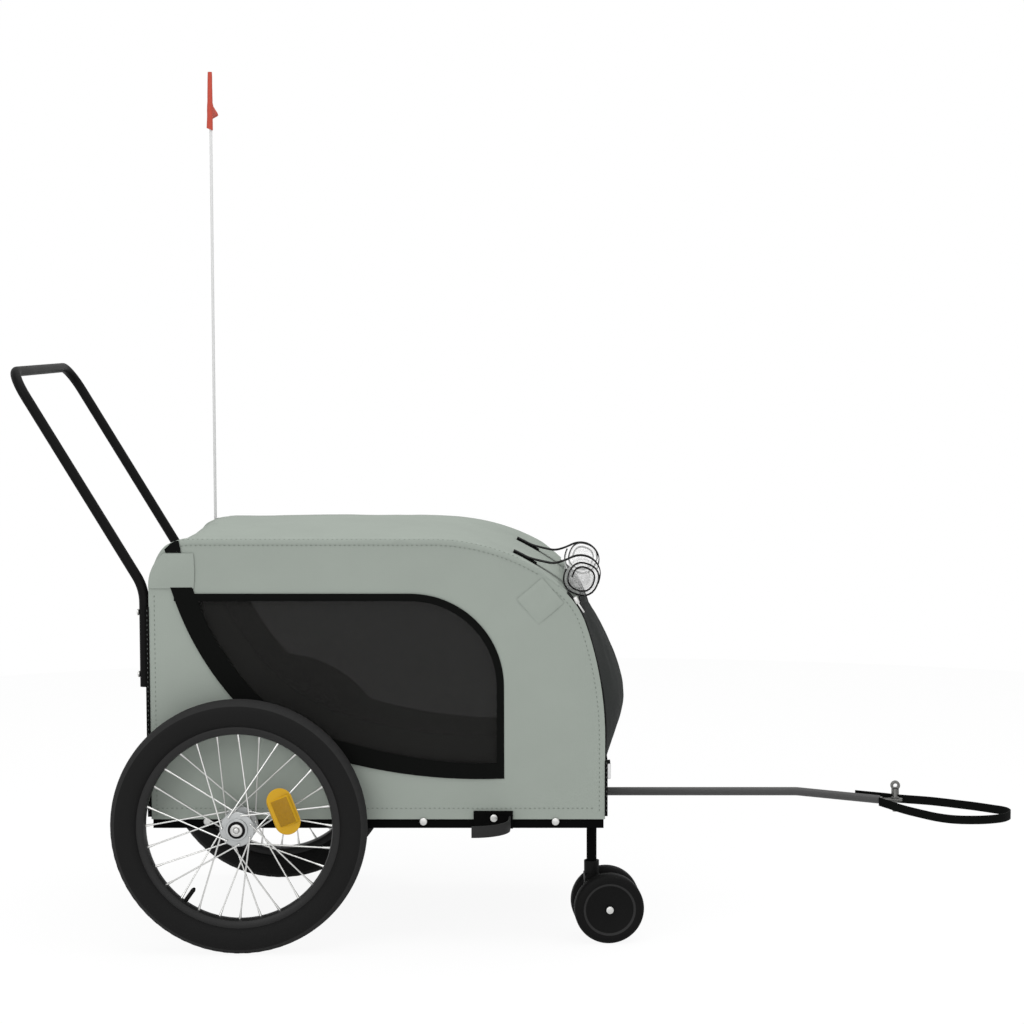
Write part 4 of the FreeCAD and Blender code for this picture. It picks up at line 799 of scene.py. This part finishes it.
def side_line(hand, start, end):
    """The part of a side panel's edge between two heights, going up the rear or down the front."""
    ring = outline[hand]
    first = min(range(len(ring)), key=lambda i: (ring[i] - LOW_REAR).length)
    ring = ring[first:] + ring[:first]
    if ring[1].z - ring[0].z < mm(10):
        ring = ring[:1] + ring[:0:-1]
    line = spaced(ring, 4)
    peak = max(range(len(line)), key=lambda i: line[i].z)
    if start < end:
        return [point for point in line[:peak] if mm(start) <= point.z <= mm(end) and point.x < AXLE]
    # Low down, the edge also runs back along the sill, and that part is left out.
    return [point for point in line[peak:] if mm(end) <= point.z <= mm(start) and
            point.x > AXLE + mm(NOSE if point.z < mm(SILL_REACH) else SHOULDER)]


def beside(line, ways, out, lift, inset):
    """A row of sewing: a line moved out of its cloth and across itself by so many millimetres."""
    return out, [point + out * mm(lift) + way * mm(inset) for point, way in zip(line, ways)]


# %% Edgings and seams
EAVES, SEAM_IN, BROW_SEAM = (-112, 470), 9, 440
seams, pale = [], []
for hand, sign in SIDES.items():
    out = Vector((0, sign, 0))
    heart = at(200, sign * 230, 400)
    rear, nose = side_line(hand, 207, 566), side_line(hand, 590, 208)
    for name, line, reach in (("rear", side_line(hand, 207, 541), (-5.5, 0.6)),
                              ("front", side_line(hand, 300, 208), (-4.0, 0.6))):
        ways = perpendicular(line, heart)
        sides = [(way * mm(reach[0]), way * mm(reach[1])) for way in ways]
        ribbon(f"{name}_edging_{hand}", [point - out * mm(0.5) for point in line], sides, 3.0)
        pale.append(beside(line, ways, out, 1.1, -2.6))
    for line in (rear, nose):
        seams.append(beside(line, perpendicular(line, heart), out, 0.4, SEAM_IN))
    eaves = [point for point in spaced(outline[hand], 4) if point.z > mm(560)]
    eaves.sort(key=lambda point: point.x)
    eaves = [point for point in eaves if mm(EAVES[0]) < point.x - AXLE < mm(EAVES[1])]
    ways = perpendicular(eaves, heart)
    seams.append(beside(eaves, ways, out, 1.1, 2))
    behind_brow = [point for point in eaves if point.x < AXLE + mm(BROW_SEAM)]
    seams.append(beside(behind_brow, ways, out, -0.2, -7.2))
    seams.append((out, [at(x, sign * 230.4, 221) for x in (-136, 200, 560)]))
for name, rows, colour in (("sage_stitching", seams, "#747b74"), ("pale_stitching", pale, "#555855")):
    thread = woven(name.replace("_", " ") + " thread", colour, 0.8, 0.1)
    piece(name, stitch(rows), "fabric_sage", "chassis", finish=thread)
    print(name, len(rows), "rows")

# %% [markdown]
# ## The rolled rain cover
# A clear PVC cover is rolled up on the brow. Its cut ends are bound in black, so the roll shows a
# black spiral at each end. The sheet is a strip along that spiral, so it really is one rolled sheet.

# %% Rain cover
ROLL = at(535.2, 0, 579.8)
END = 180.0
ROLL_RADIUS, ROLL_PITCH, ROLL_TURNS = 31.0, 7.0, 3.1
SQUARENESS, TILT, OUTER_END, DRAWN_IN = 2.4, 0.12, math.radians(150), 0.94
BOUND_SHARE, BINDING = 0.68, 4


def spiral(radius, pitch, turns, count=28):
    """A roll's end view: a spiral a little squared off, from the outside in."""
    line = []
    for i in range(int(turns * count) + 1):
        turn = 2 * math.pi * i / count
        c, s = math.cos(turn - TILT), math.sin(turn - TILT)
        square = (abs(c) ** SQUARENESS + abs(s) ** SQUARENESS) ** (1 / SQUARENESS)
        reach = mm(radius - pitch * turn / (2 * math.pi)) / square
        angle = turn + OUTER_END
        line.append(ROLL + Vector((math.cos(angle), 0, math.sin(angle))) * reach * DRAWN_IN)
    return line


winding = spiral(ROLL_RADIUS, ROLL_PITCH, ROLL_TURNS)
sheet_length = sum((a - b).length for a, b in zip(winding, winding[1:]))
across = Vector((0, mm(END), 0))
bm = strip(winding, [(-across, across)] * len(winding))
for v in bm.verts:
    v.co += Vector((1, 0, 0.5)) * mm(0.8) * noise.noise(v.co / mm(30))
sew("rain_cover", bm, "clear_pvc", "chassis", "rain_cover_roll", flat=(2 * mm(END), sheet_length),
    held="folded", thickness=0.6, offset=0)
bound = winding[:int(len(winding) * BOUND_SHARE)]
for name, y in (("near", -END), ("far", END)):
    edge = Vector((0, mm(y), 0))
    lap = Vector((0, math.copysign(mm(BINDING), -y), 0))
    ribbon(f"cover_binding_{name}", bound, [(edge, edge + lap)] * len(bound), 2.6, held="folded")
print("cover", round(sheet_length * 1000), "mm long")

# %% [markdown]
# ## Cover straps
# Two webbing straps are sewn to the roof. One end lies flat, and the other passes over the roll in a
# wave. The sewn ends are dropped on the roof cloth with rays, so that they lie on it whatever its
# slack, and the waves are smooth curves along a few measured places.

# %% Lines for straps
bpy.context.view_layer.update()


def on_roof(x, y, lift):
    """A place on the roof cloth, lifted off it by so many millimetres."""
    _, place, normal, _ = roof.ray_cast(Vector((AXLE + mm(x), mm(y), 1)), Vector((0, 0, -1)))
    return place + normal * mm(lift)


def smooth_line(points, count=60):
    """A curve through the neighbourhood of a few control points, read back as even points."""
    curve = bpy.data.curves.new("guide", "CURVE")
    curve.dimensions = "3D"
    spline = curve.splines.new("NURBS")
    spline.points.add(len(points) - 1)
    for spot, point in zip(spline.points, points):
        spot.co = (*point, 1)
    spline.order_u = 3
    spline.use_endpoint_u = True
    spline.resolution_u = count
    guide = bpy.data.objects.new("guide", curve)
    mesh = bpy.data.meshes.new_from_object(guide)
    line = [v.co.copy() for v in mesh.vertices]
    bpy.data.objects.remove(guide)
    bpy.data.curves.remove(curve)
    bpy.data.meshes.remove(mesh)
    return line


# %% Cover straps
STRAP_PLACE, STRAP_HALF = 118, Vector((0, mm(12), 0))
# Along the trailer and up, in millimetres: the wave of the lifted end, from the roof over the roll.
LIFTED = ((458, 604), (473, 600.5), (490, 597), (509, 603), (522, 609.5), (534, 611), (546, 608.5),
          (556, 601.5), (563, 591), (565, 579), (561, 566))
for hand, sign in SIDES.items():
    y = sign * STRAP_PLACE
    sewn = [on_roof(x, y, 1.6) for x in (424, 432, 440, 448, 456, 461)]
    lifted = [on_roof(x, y, 3.2) for x in (424, 436, 446)] + [at(x, y, z) for x, z in LIFTED]
    for name, line, thick in (("sewn", sewn, 2.2), ("lifted", smooth_line(lifted, 12), 1.5)):
        replaced = ["cover_straps"] if (name, hand) == ("lifted", "right") else []
        made = ribbon(f"cover_strap_{name}_{hand}", line, [(-STRAP_HALF, STRAP_HALF)] * len(line), thick,
                      *replaced)
    print(made.name, len(made.data.polygons), "faces")

# %% [markdown]
# ## Zip pulls and rear pocket
# The door's zip ends in a steel slider under the roll and a white pull near the sill. Both are small
# bars with rounded edges. The pocket on the rear is a black bag, a little fuller than its stitching.

# %% Zip pulls
def round_edges(bm, edges, width):
    """Round edges off by so many millimetres."""
    bmesh.ops.bevel(bm, geom=edges, offset=mm(width), offset_type="OFFSET", segments=2, profile=0.5,
                    affect="EDGES", clamp_overlap=True, material=-1)


def bar(bm, a, b, width, depth, round_off):
    """A small flat bar between two places, with its edges rounded."""
    ahead = (b - a).normalized()
    side = ahead.cross(Vector((0, 1, 0))).normalized()
    turn = Matrix((side, Vector((0, 1, 0)), ahead)).transposed().to_4x4()
    size = Matrix.Diagonal((mm(width), mm(depth), (b - a).length, 1))
    made = bmesh.ops.create_cube(bm, size=1, matrix=Matrix.Translation((a + b) / 2) @ turn @ size)
    edges = list(dict.fromkeys(e for v in made["verts"] for e in v.link_edges))
    round_edges(bm, edges, round_off)


slider = bmesh.new()
bar(slider, at(523.5, -228.5, 555), at(528.5, -228.5, 545), 6.5, 6, 1.2)
bar(slider, at(527.5, -229.5, 547), at(538, -229.5, 531), 2.6, 1.6, 0.5)
piece("zip_slider", slider, "hub_silver", "chassis", finish=FINISHES["bolt_steel"])
white_pull = bmesh.new()
bar(white_pull, at(577.2, -228.5, 292), at(576.6, -228.5, 267.5), 6.4, 4, 1.4)
piece("zip_pull", white_pull, "pole_white", "chassis")
loop = bmesh.new()
bar(loop, at(576.5, -228.5, 298), at(577.2, -228.5, 291), 4.5, 3, 0.9)
piece("zip_pull_loop", loop, "plastic_black", "chassis")
print("zip pulls fitted")

# %% Rear pocket
POCKET_DEPTH, POCKET_EASE = 13, 34
bm = skin("rear_pocket", lambda f: f.normal.x < 0.5)
lattice(bm, 10, (1, 2))
for v, far in zip(bm.verts, edge_distance(bm)):
    v.co.x -= mm(POCKET_DEPTH) * math.sin(min(1, far / mm(POCKET_EASE)) * math.pi / 2)
slacken(bm, 2.5, 45, 25, seed=2)
low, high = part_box("rear_pocket")
pocket = area(bm)
sew("rear_pocket_cloth", bm, "fabric_black", "chassis", "rear_pocket", held="gathered", cloth=pocket,
    flat=(high.y - low.y, pocket / (high.y - low.y)), thickness=1.2)
print("pocket", round(pocket, 4), "m2")

# %% [markdown]
# ## Tyres, rims, hubs and spokes
# A tyre is a moulded ring with tread blocks, the rim a rolled channel, and the hub turned alloy with
# two spoke flanges. All three are round, so each is one section spun about the axle, as on a lathe.
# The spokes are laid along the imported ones, as plain wires with a nipple at the rim and a bead where
# they hook into the flange.

# %% Turning tools
def turned(profile, centre, axis, steps, closed=True):
    """Spin a section of (radius, distance along the axis) in millimetres, as on a lathe."""
    bm = bmesh.new()
    side = axis.cross(Vector((0, 0, 1))).normalized()
    points = [bm.verts.new(centre + side * mm(r) + axis * mm(a)) for r, a in profile]
    edges = [bm.edges.new(pair) for pair in zip(points, points[1:] + (points[:1] if closed else []))]
    bmesh.ops.spin(bm, geom=points + edges, cent=centre, axis=axis, angle=2 * math.pi, steps=steps,
                   use_merge=True)
    bmesh.ops.remove_doubles(bm, verts=bm.verts, dist=mm(0.01))
    bmesh.ops.recalc_face_normals(bm, faces=bm.faces)
    return bm


def islands(node):
    """The separate solids of a node, each as a list of its points."""
    bm = solid(node)
    left, found = dict.fromkeys(bm.verts), []
    while left:
        grown = [next(iter(left))]
        del left[grown[0]]
        for v in grown:
            for near in (e.other_vert(v) for e in v.link_edges):
                if near in left:
                    del left[near]
                    grown.append(near)
        found.append([v.co.copy() for v in grown])
    bm.free()
    return found


# %% Wheel sections
TYRE_RING, TYRE_HALF, TYRE_OPENING, SECTION_STEPS = 178, 22, 152, 32
section = []
for step in range(SECTION_STEPS + 1):
    turn = math.radians(-TYRE_OPENING + step * 2 * TYRE_OPENING / SECTION_STEPS)
    c, s = (math.copysign(abs(f(turn)) ** 0.8, f(turn)) for f in (math.cos, math.sin))
    section.append((TYRE_RING + TYRE_HALF * c, TYRE_HALF * s))
# Radius and distance along the axle, in millimetres.
HALF_RIM = [(145.6, 6), (147.5, 11), (151, 13.4), (156.5, 14), (158.6, 13.5)]
RIM = [(r, -a) for r, a in reversed(HALF_RIM)] + HALF_RIM + [(155, 11), (155, -11)]
HALF_HUB = [(14.1, 28.75), (13.6, 28.75), (13.6, 29.3), (16.4, 29.3), (17, 28.7), (17.4, 25.2),
            (26, 24.8), (27, 24), (27, 22), (26, 21.3), (19, 20.8), (15, 12)]
HUB = HALF_HUB + [(r, -a) for r, a in reversed(HALF_HUB)]
print(len(section), "points in the tyre's section")

# %% Wheels
TREAD_BLOCKS, TREAD_EDGE, TREAD_MIDDLE = 144, 190.5, 7
WIRE, BEAD, NIPPLE = 1.25, 2.1, (1.5, 2.2, 13, 5.5)  # radii; the nipple's two radii, length and setback
# Moulded tread: rougher than the sidewall, and a shade paler as a painted sheen.
TREAD = coated("tyre tread rubber", "#2a2a2a", 0.85, 2.5, 0.4, 0.06)
for hand, sign in SIDES.items():
    body = f"wheel_{hand}"
    centre, axis = middle(f"rim_{hand}"), Vector((0, sign, 0))
    bm = turned(section, centre, axis, TREAD_BLOCKS, closed=False)
    bm.faces.ensure_lookup_table()
    blocks = []
    for face in bm.faces:
        off = face.calc_center_median() - centre
        turn = (math.atan2(off.z, off.x) + math.pi) / (2 * math.pi)
        block = int(turn * TREAD_BLOCKS + (1 if off.y > 0 else 0))
        if math.hypot(off.x, off.z) > mm(TREAD_EDGE):
            face.material_index = 1
            if abs(off.y) < mm(TREAD_MIDDLE) or block % 2:
                blocks.append(face)
    bmesh.ops.inset_individual(bm, faces=blocks, thickness=mm(0.9), depth=mm(0.3), use_even_offset=True)
    tyre = piece(f"tyre_{hand}_moulded", bm, "tyre_black", body, f"tyre_{hand}", f"inner_tube_{hand}")
    tyre.data.materials.append(TREAD)
    thicken(tyre, 3)
    rim, hub = turned(RIM, centre, axis, 128), turned(HUB, centre, axis, 64)
    piece(f"rim_{hand}_rolled", rim, "rim_black", body, f"rim_{hand}", sharp=30)
    piece(f"hub_{hand}_turned", hub, "hub_silver", body, f"hub_shell_{hand}", sharp=30)
    bm = bmesh.new()
    for points in islands(f"spokes_{hand}"):
        points.sort(key=lambda p: math.hypot(p.x - centre.x, p.z - centre.z))
        foot = sum(points[:8], Vector()) / 8
        tip = sum(points[-8:], Vector()) / 8
        ahead = (tip - foot).normalized()
        turn = ahead.to_track_quat("Z", "Y").to_matrix().to_4x4()
        wire = (WIRE, WIRE, (tip - foot).length * 1000, (foot + tip) / 2)
        nipple = (*NIPPLE[:3], tip - ahead * mm(NIPPLE[3]))
        for radius, end, length, place in (wire, nipple):
            bmesh.ops.create_cone(bm, cap_ends=True, segments=10, radius1=mm(radius), radius2=mm(end),
                                  depth=mm(length), matrix=Matrix.Translation(place) @ turn)
        bmesh.ops.create_icosphere(bm, subdivisions=1, radius=mm(BEAD), matrix=Matrix.Translation(foot))
    piece(f"spokes_{hand}_laced", bm, "spoke_steel", body, f"spokes_{hand}")
print("wheels turned")

# %% [markdown]
# ## Castor wheels
# The castor's twin wheels are moulded in one section with a shallow dish, and the step round the
# dish is glossier and painted paler, as a painted highlight. The castor stands turned by about 5
# degrees, so they spin on a turned axis.

# %% Castor wheels
DISH, STEP_EDGE = 38, 41.5
# Radius and distance along the axle, in millimetres.
CASTOR = [(5.6, 10.5), (6.4, 12.4), (DISH, 12.4), (STEP_EDGE, 14.6), (46, 15), (51, 14.2), (54, 11.8),
          (55.4, 7.5), (55.4, -7.5), (54, -11.8), (51, -14.2), (44, -15), (5.6, -15)]
castor_axis = Vector((-0.0906326, 0.9958844, 0))  # 5.2 degrees round from straight across
# Painted highlight: a thin grey ring of glossier rubber that shows where the dish begins.
STEP = coated("castor step rubber with painted highlight", "#262626", 0.5, 2, 0.15, 0.12)
for hand, sign in SIDES.items():
    node = f"castor_wheel_{hand}"
    centre = middle(node)
    bm = turned(CASTOR, centre, castor_axis * sign, 72)
    for face in bm.faces:
        off = face.calc_center_median() - centre
        radius = (off - castor_axis * off.dot(castor_axis)).length
        face.material_index = int(mm(DISH) < radius < mm(STEP_EDGE))
    wheel = piece(f"{node}_moulded", bm, "castor_rubber", node, node, sharp=40)
    wheel.data.materials.append(STEP)
print("castor wheels turned")

# %% [markdown]
# ## Eased edges
# Bolts, axles, rails and brackets have a small round on every edge, and that round is what catches
# light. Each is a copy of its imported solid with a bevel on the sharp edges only. The reflector also
# gets a tapered lens block, raised from its plate.

# %% Easing tools
LENS, LENS_SET, LENS_DRAFT = (47, 33, 5), 4.5, (3, 4)


def raise_lens(bm, panel):
    """Sink the plate of a reflector and stand a tapered lens block on it."""
    front = max((f for f in bm.faces if f.normal.dot(panel) > 0.8), key=lambda f: f.calc_area())
    heart = front.calc_center_bounds()
    reach = max((v.co - heart for v in front.verts), key=lambda way: way.length).normalized()
    across = panel.cross(reach)
    bmesh.ops.translate(bm, verts=front.verts, vec=-panel * mm(LENS_SET))
    turn = Matrix((reach, across, panel)).transposed().to_4x4()
    place = Matrix.Translation(heart - panel * mm(LENS[2] / 2))
    size = Matrix.Diagonal((*(mm(length) for length in LENS), 1))
    lens = bmesh.ops.create_cube(bm, size=1, matrix=place @ turn @ size)
    for v in lens["verts"]:
        off = v.co - heart
        if off.dot(panel) > -mm(1):
            v.co -= reach * math.copysign(mm(LENS_DRAFT[0]), off.dot(reach))
            v.co -= across * math.copysign(mm(LENS_DRAFT[1]), off.dot(across))


def eased(node, width, body, slot, panel=None, finish=None):
    """A copy of a hard node with a small round on its sharp edges, and a lens raised one way if asked."""
    bm = solid(node)
    bmesh.ops.dissolve_limit(bm, angle_limit=math.radians(0.5), verts=bm.verts, edges=bm.edges)
    if panel:
        raise_lens(bm, panel)
    edges = [e for e in bm.edges if len(e.link_faces) == 2 and e.calc_face_angle() > math.radians(40)]
    round_edges(bm, edges, width)
    return piece(f"{node}_eased", bm, slot, body, node, sharp=20 if panel else 35, finish=finish)


# %% Eased edges
# Galvanised steel: greyer and duller than the plated bolts.
HITCH = bare_metal("galvanised hitch steel", "#6e6e6c", 0.5, 2)
for node, width, body in (
        ("frame_bolts", 1.3, "chassis"), ("handle_bolts", 1.0, "chassis"),
        ("castor_axle", 1.0, "castor_fork"), ("hitch_tongue", 0.6, "chassis"),
        ("hitch_pin", 0.6, "hitch_pin"), ("flag_socket", 0.5, "chassis"),
        ("axle_right", 0.8, "wheel_right"), ("axle_left", 0.8, "wheel_left"),
        ("axle_button_right", 0.7, "axle_button_right"), ("axle_button_left", 0.7, "axle_button_left"),
        ("wheel_bumper_right", 0.6, "chassis"), ("wheel_bumper_left", 0.6, "chassis"),
        ("rail_right", 1.0, "chassis"), ("rail_left", 1.0, "chassis")):
    made = eased(node, width, body, slots[node], finish=HITCH if node.startswith("hitch") else None)
    print(made.name, len(made.data.polygons), "faces")

# %% [markdown]
# ## Hitch lug, bumper strips and reflectors
# The hitch pin has a broad lug under its eye, which stands on the tongue and lifts with the pin. The
# bumpers are painted paler along their outer strip, as painted light. The reflector's lens is darker
# than its plate, because the prisms swallow light that doesn't come from straight ahead.

# %% Hitch lug, bumper strips and reflectors
EYE, STRIP_EDGE, LENS_FACE = 10.6, 236, 0.8
pin = middle("hitch_pin")
low, high = (Vector((*pin.xy, z)) for z in (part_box("hitch_tongue")[1].z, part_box("hitch_pin")[1].z - mm(EYE)))
lug = bmesh.new()
bar(lug, low, high, 12.5, 5, 2)
piece("hitch_pin_lug", lug, slots["hitch_pin"], "hitch_pin", finish=HITCH)
# Painted light: a dull grey band on the outer strip, which faces forwards and down into the light.
STRIP = coated("bumper strip painted light", "#272727", 0.6, 2.5, 0.15, 0.1)
# Moulded acrylic without prisms: a clearer, lighter amber.
LUG = coated("amber reflector lug", "#b98f16", 0.35, 1.5, 0.05, 0.2)
for hand, sign in SIDES.items():
    bumper = bpy.data.objects[f"wheel_bumper_{hand}_eased"]
    bumper.data.materials.append(STRIP)
    for face in bumper.data.polygons:
        face.material_index = int(abs(face.center.y) > mm(STRIP_EDGE))
    lens = eased(f"reflector_{hand}", 1.0, f"wheel_{hand}", "reflector_amber", panel=Vector((0, sign, 0)))
    lens.data.materials.append(LUG)
    front = max(abs(v.co.y) for v in lens.data.vertices)
    for face in lens.data.polygons:
        face.material_index = int(abs(face.center.y) < front - mm(LENS_FACE))
    print(lens.name, len(lens.data.polygons), "faces")

# %% [markdown]
# ## Safety strap
# The safety strap is a loop of stiff webbing on edge, threaded on the drawbar. Its places were
# measured along the loop, and a smooth curve through them gives its length.

# %% Safety strap
WEBBING_HALF = 7
LOOP = ((1032, 16, 184.3), (1049, 5, 180.5), (1069, -12, 176.2), (1100, -38, 172.9), (1119, -52, 171),
        (1139, -62, 169.9), (1160, -69, 169.9), (1191, -74, 171), (1212, -70, 171.8), (1227, -60, 171.5),
        (1239, -44, 171.6), (1245, -28, 171.5), (1244, -10, 171.6), (1238, 3, 171.6), (1227, 12, 171.7),
        (1196, 24, 174.4), (1175, 29, 176.1), (1132, 35, 180.4), (1110, 37, 182.1), (1067, 38, 184.9),
        (1043, 37, 187.9), (1019, 36, 190.4), (994, 35, 193))
line = smooth_line([at(*point) for point in LOOP], 4)
edge = Vector((0, 0, mm(WEBBING_HALF)))
ribbon("safety_webbing", line, [(-edge, edge)] * len(line), 2.0, "safety_strap", held="folded")
print("safety strap", round(sum((a - b).length for a, b in zip(line, line[1:])), 3), "m long")

# %% [markdown]
# ## Flag
# The flag is a triangle of nylon on a sleeve, bent by its own weight. It starts as a flat grid that
# is drawn in to the tip, so the weave runs along the sleeve, and both halves fold back a little.

# %% Flag
FLAG_TIP, WAVE_HEIGHT, FOLD_BACK = 1346, 3, 11
SLEEVE_FOOT, SLEEVE_HEAD, SLEEVE_SLIP, SLEEVE_SLANT = 5.3, 3.8, 1.1, 1.5
pole = middle("flag_pole")
low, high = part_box("flag_pennant")
bm = bmesh.new()
bmesh.ops.create_grid(bm, x_segments=14, y_segments=10, size=0.5)
tip = Vector((pole.x + mm(0.5), high.y, mm(FLAG_TIP)))
for v in bm.verts:
    u, w = v.co.x + 0.5, v.co.y + 0.5
    hem = Vector((pole.x, pole.y + mm(4), low.z + mm(1) + w * (high.z - low.z - mm(2))))
    wave = mm(WAVE_HEIGHT) * math.sin(5 * u + 1.5 * w) * u * (1 - u) * 4 * (1 - abs(2 * w - 1))
    v.co = hem.lerp(tip, u) + Vector((wave, 0, 0))
    v.co.x -= mm(FOLD_BACK) * u * (ramp(v.co.z - tip.z, 3, 20) + ramp(tip.z - v.co.z, 1, 9))
bmesh.ops.remove_doubles(bm, verts=bm.verts, dist=mm(0.5))
nylon = area(bm)
sew("pennant_nylon", bm, "pennant_orange", "flag", "flag_pennant", held="hung", cloth=nylon,
    flat=(high.y - pole.y, high.z - low.z), thickness=0.5, offset=0)
bm = bmesh.new()
bmesh.ops.create_cone(bm, segments=28, radius1=mm(SLEEVE_FOOT), radius2=mm(SLEEVE_HEAD), depth=high.z - low.z,
                      matrix=Matrix.Translation((pole.x - mm(0.7), pole.y, (low.z + high.z) / 2)))
lattice(bm, 8, (2,))
for v in bm.verts:
    v.co.z -= mm(SLEEVE_SLANT) * (v.co.x - pole.x) / mm(4) * (1 - ramp(v.co.z - low.z, 0, 20))
    v.co.x += mm(0.5) * noise.noise(v.co / mm(14)) - mm(SLEEVE_SLIP) * (1 - ramp(v.co.z - low.z, 0, 75))
sleeve_area = area(bm)
sew("pennant_sleeve", bm, "pennant_orange", "flag", held="folded", cloth=sleeve_area,
    flat=(sleeve_area / (high.z - low.z), high.z - low.z), thickness=0.6)
print("pennant", round(nylon, 4), "m2")
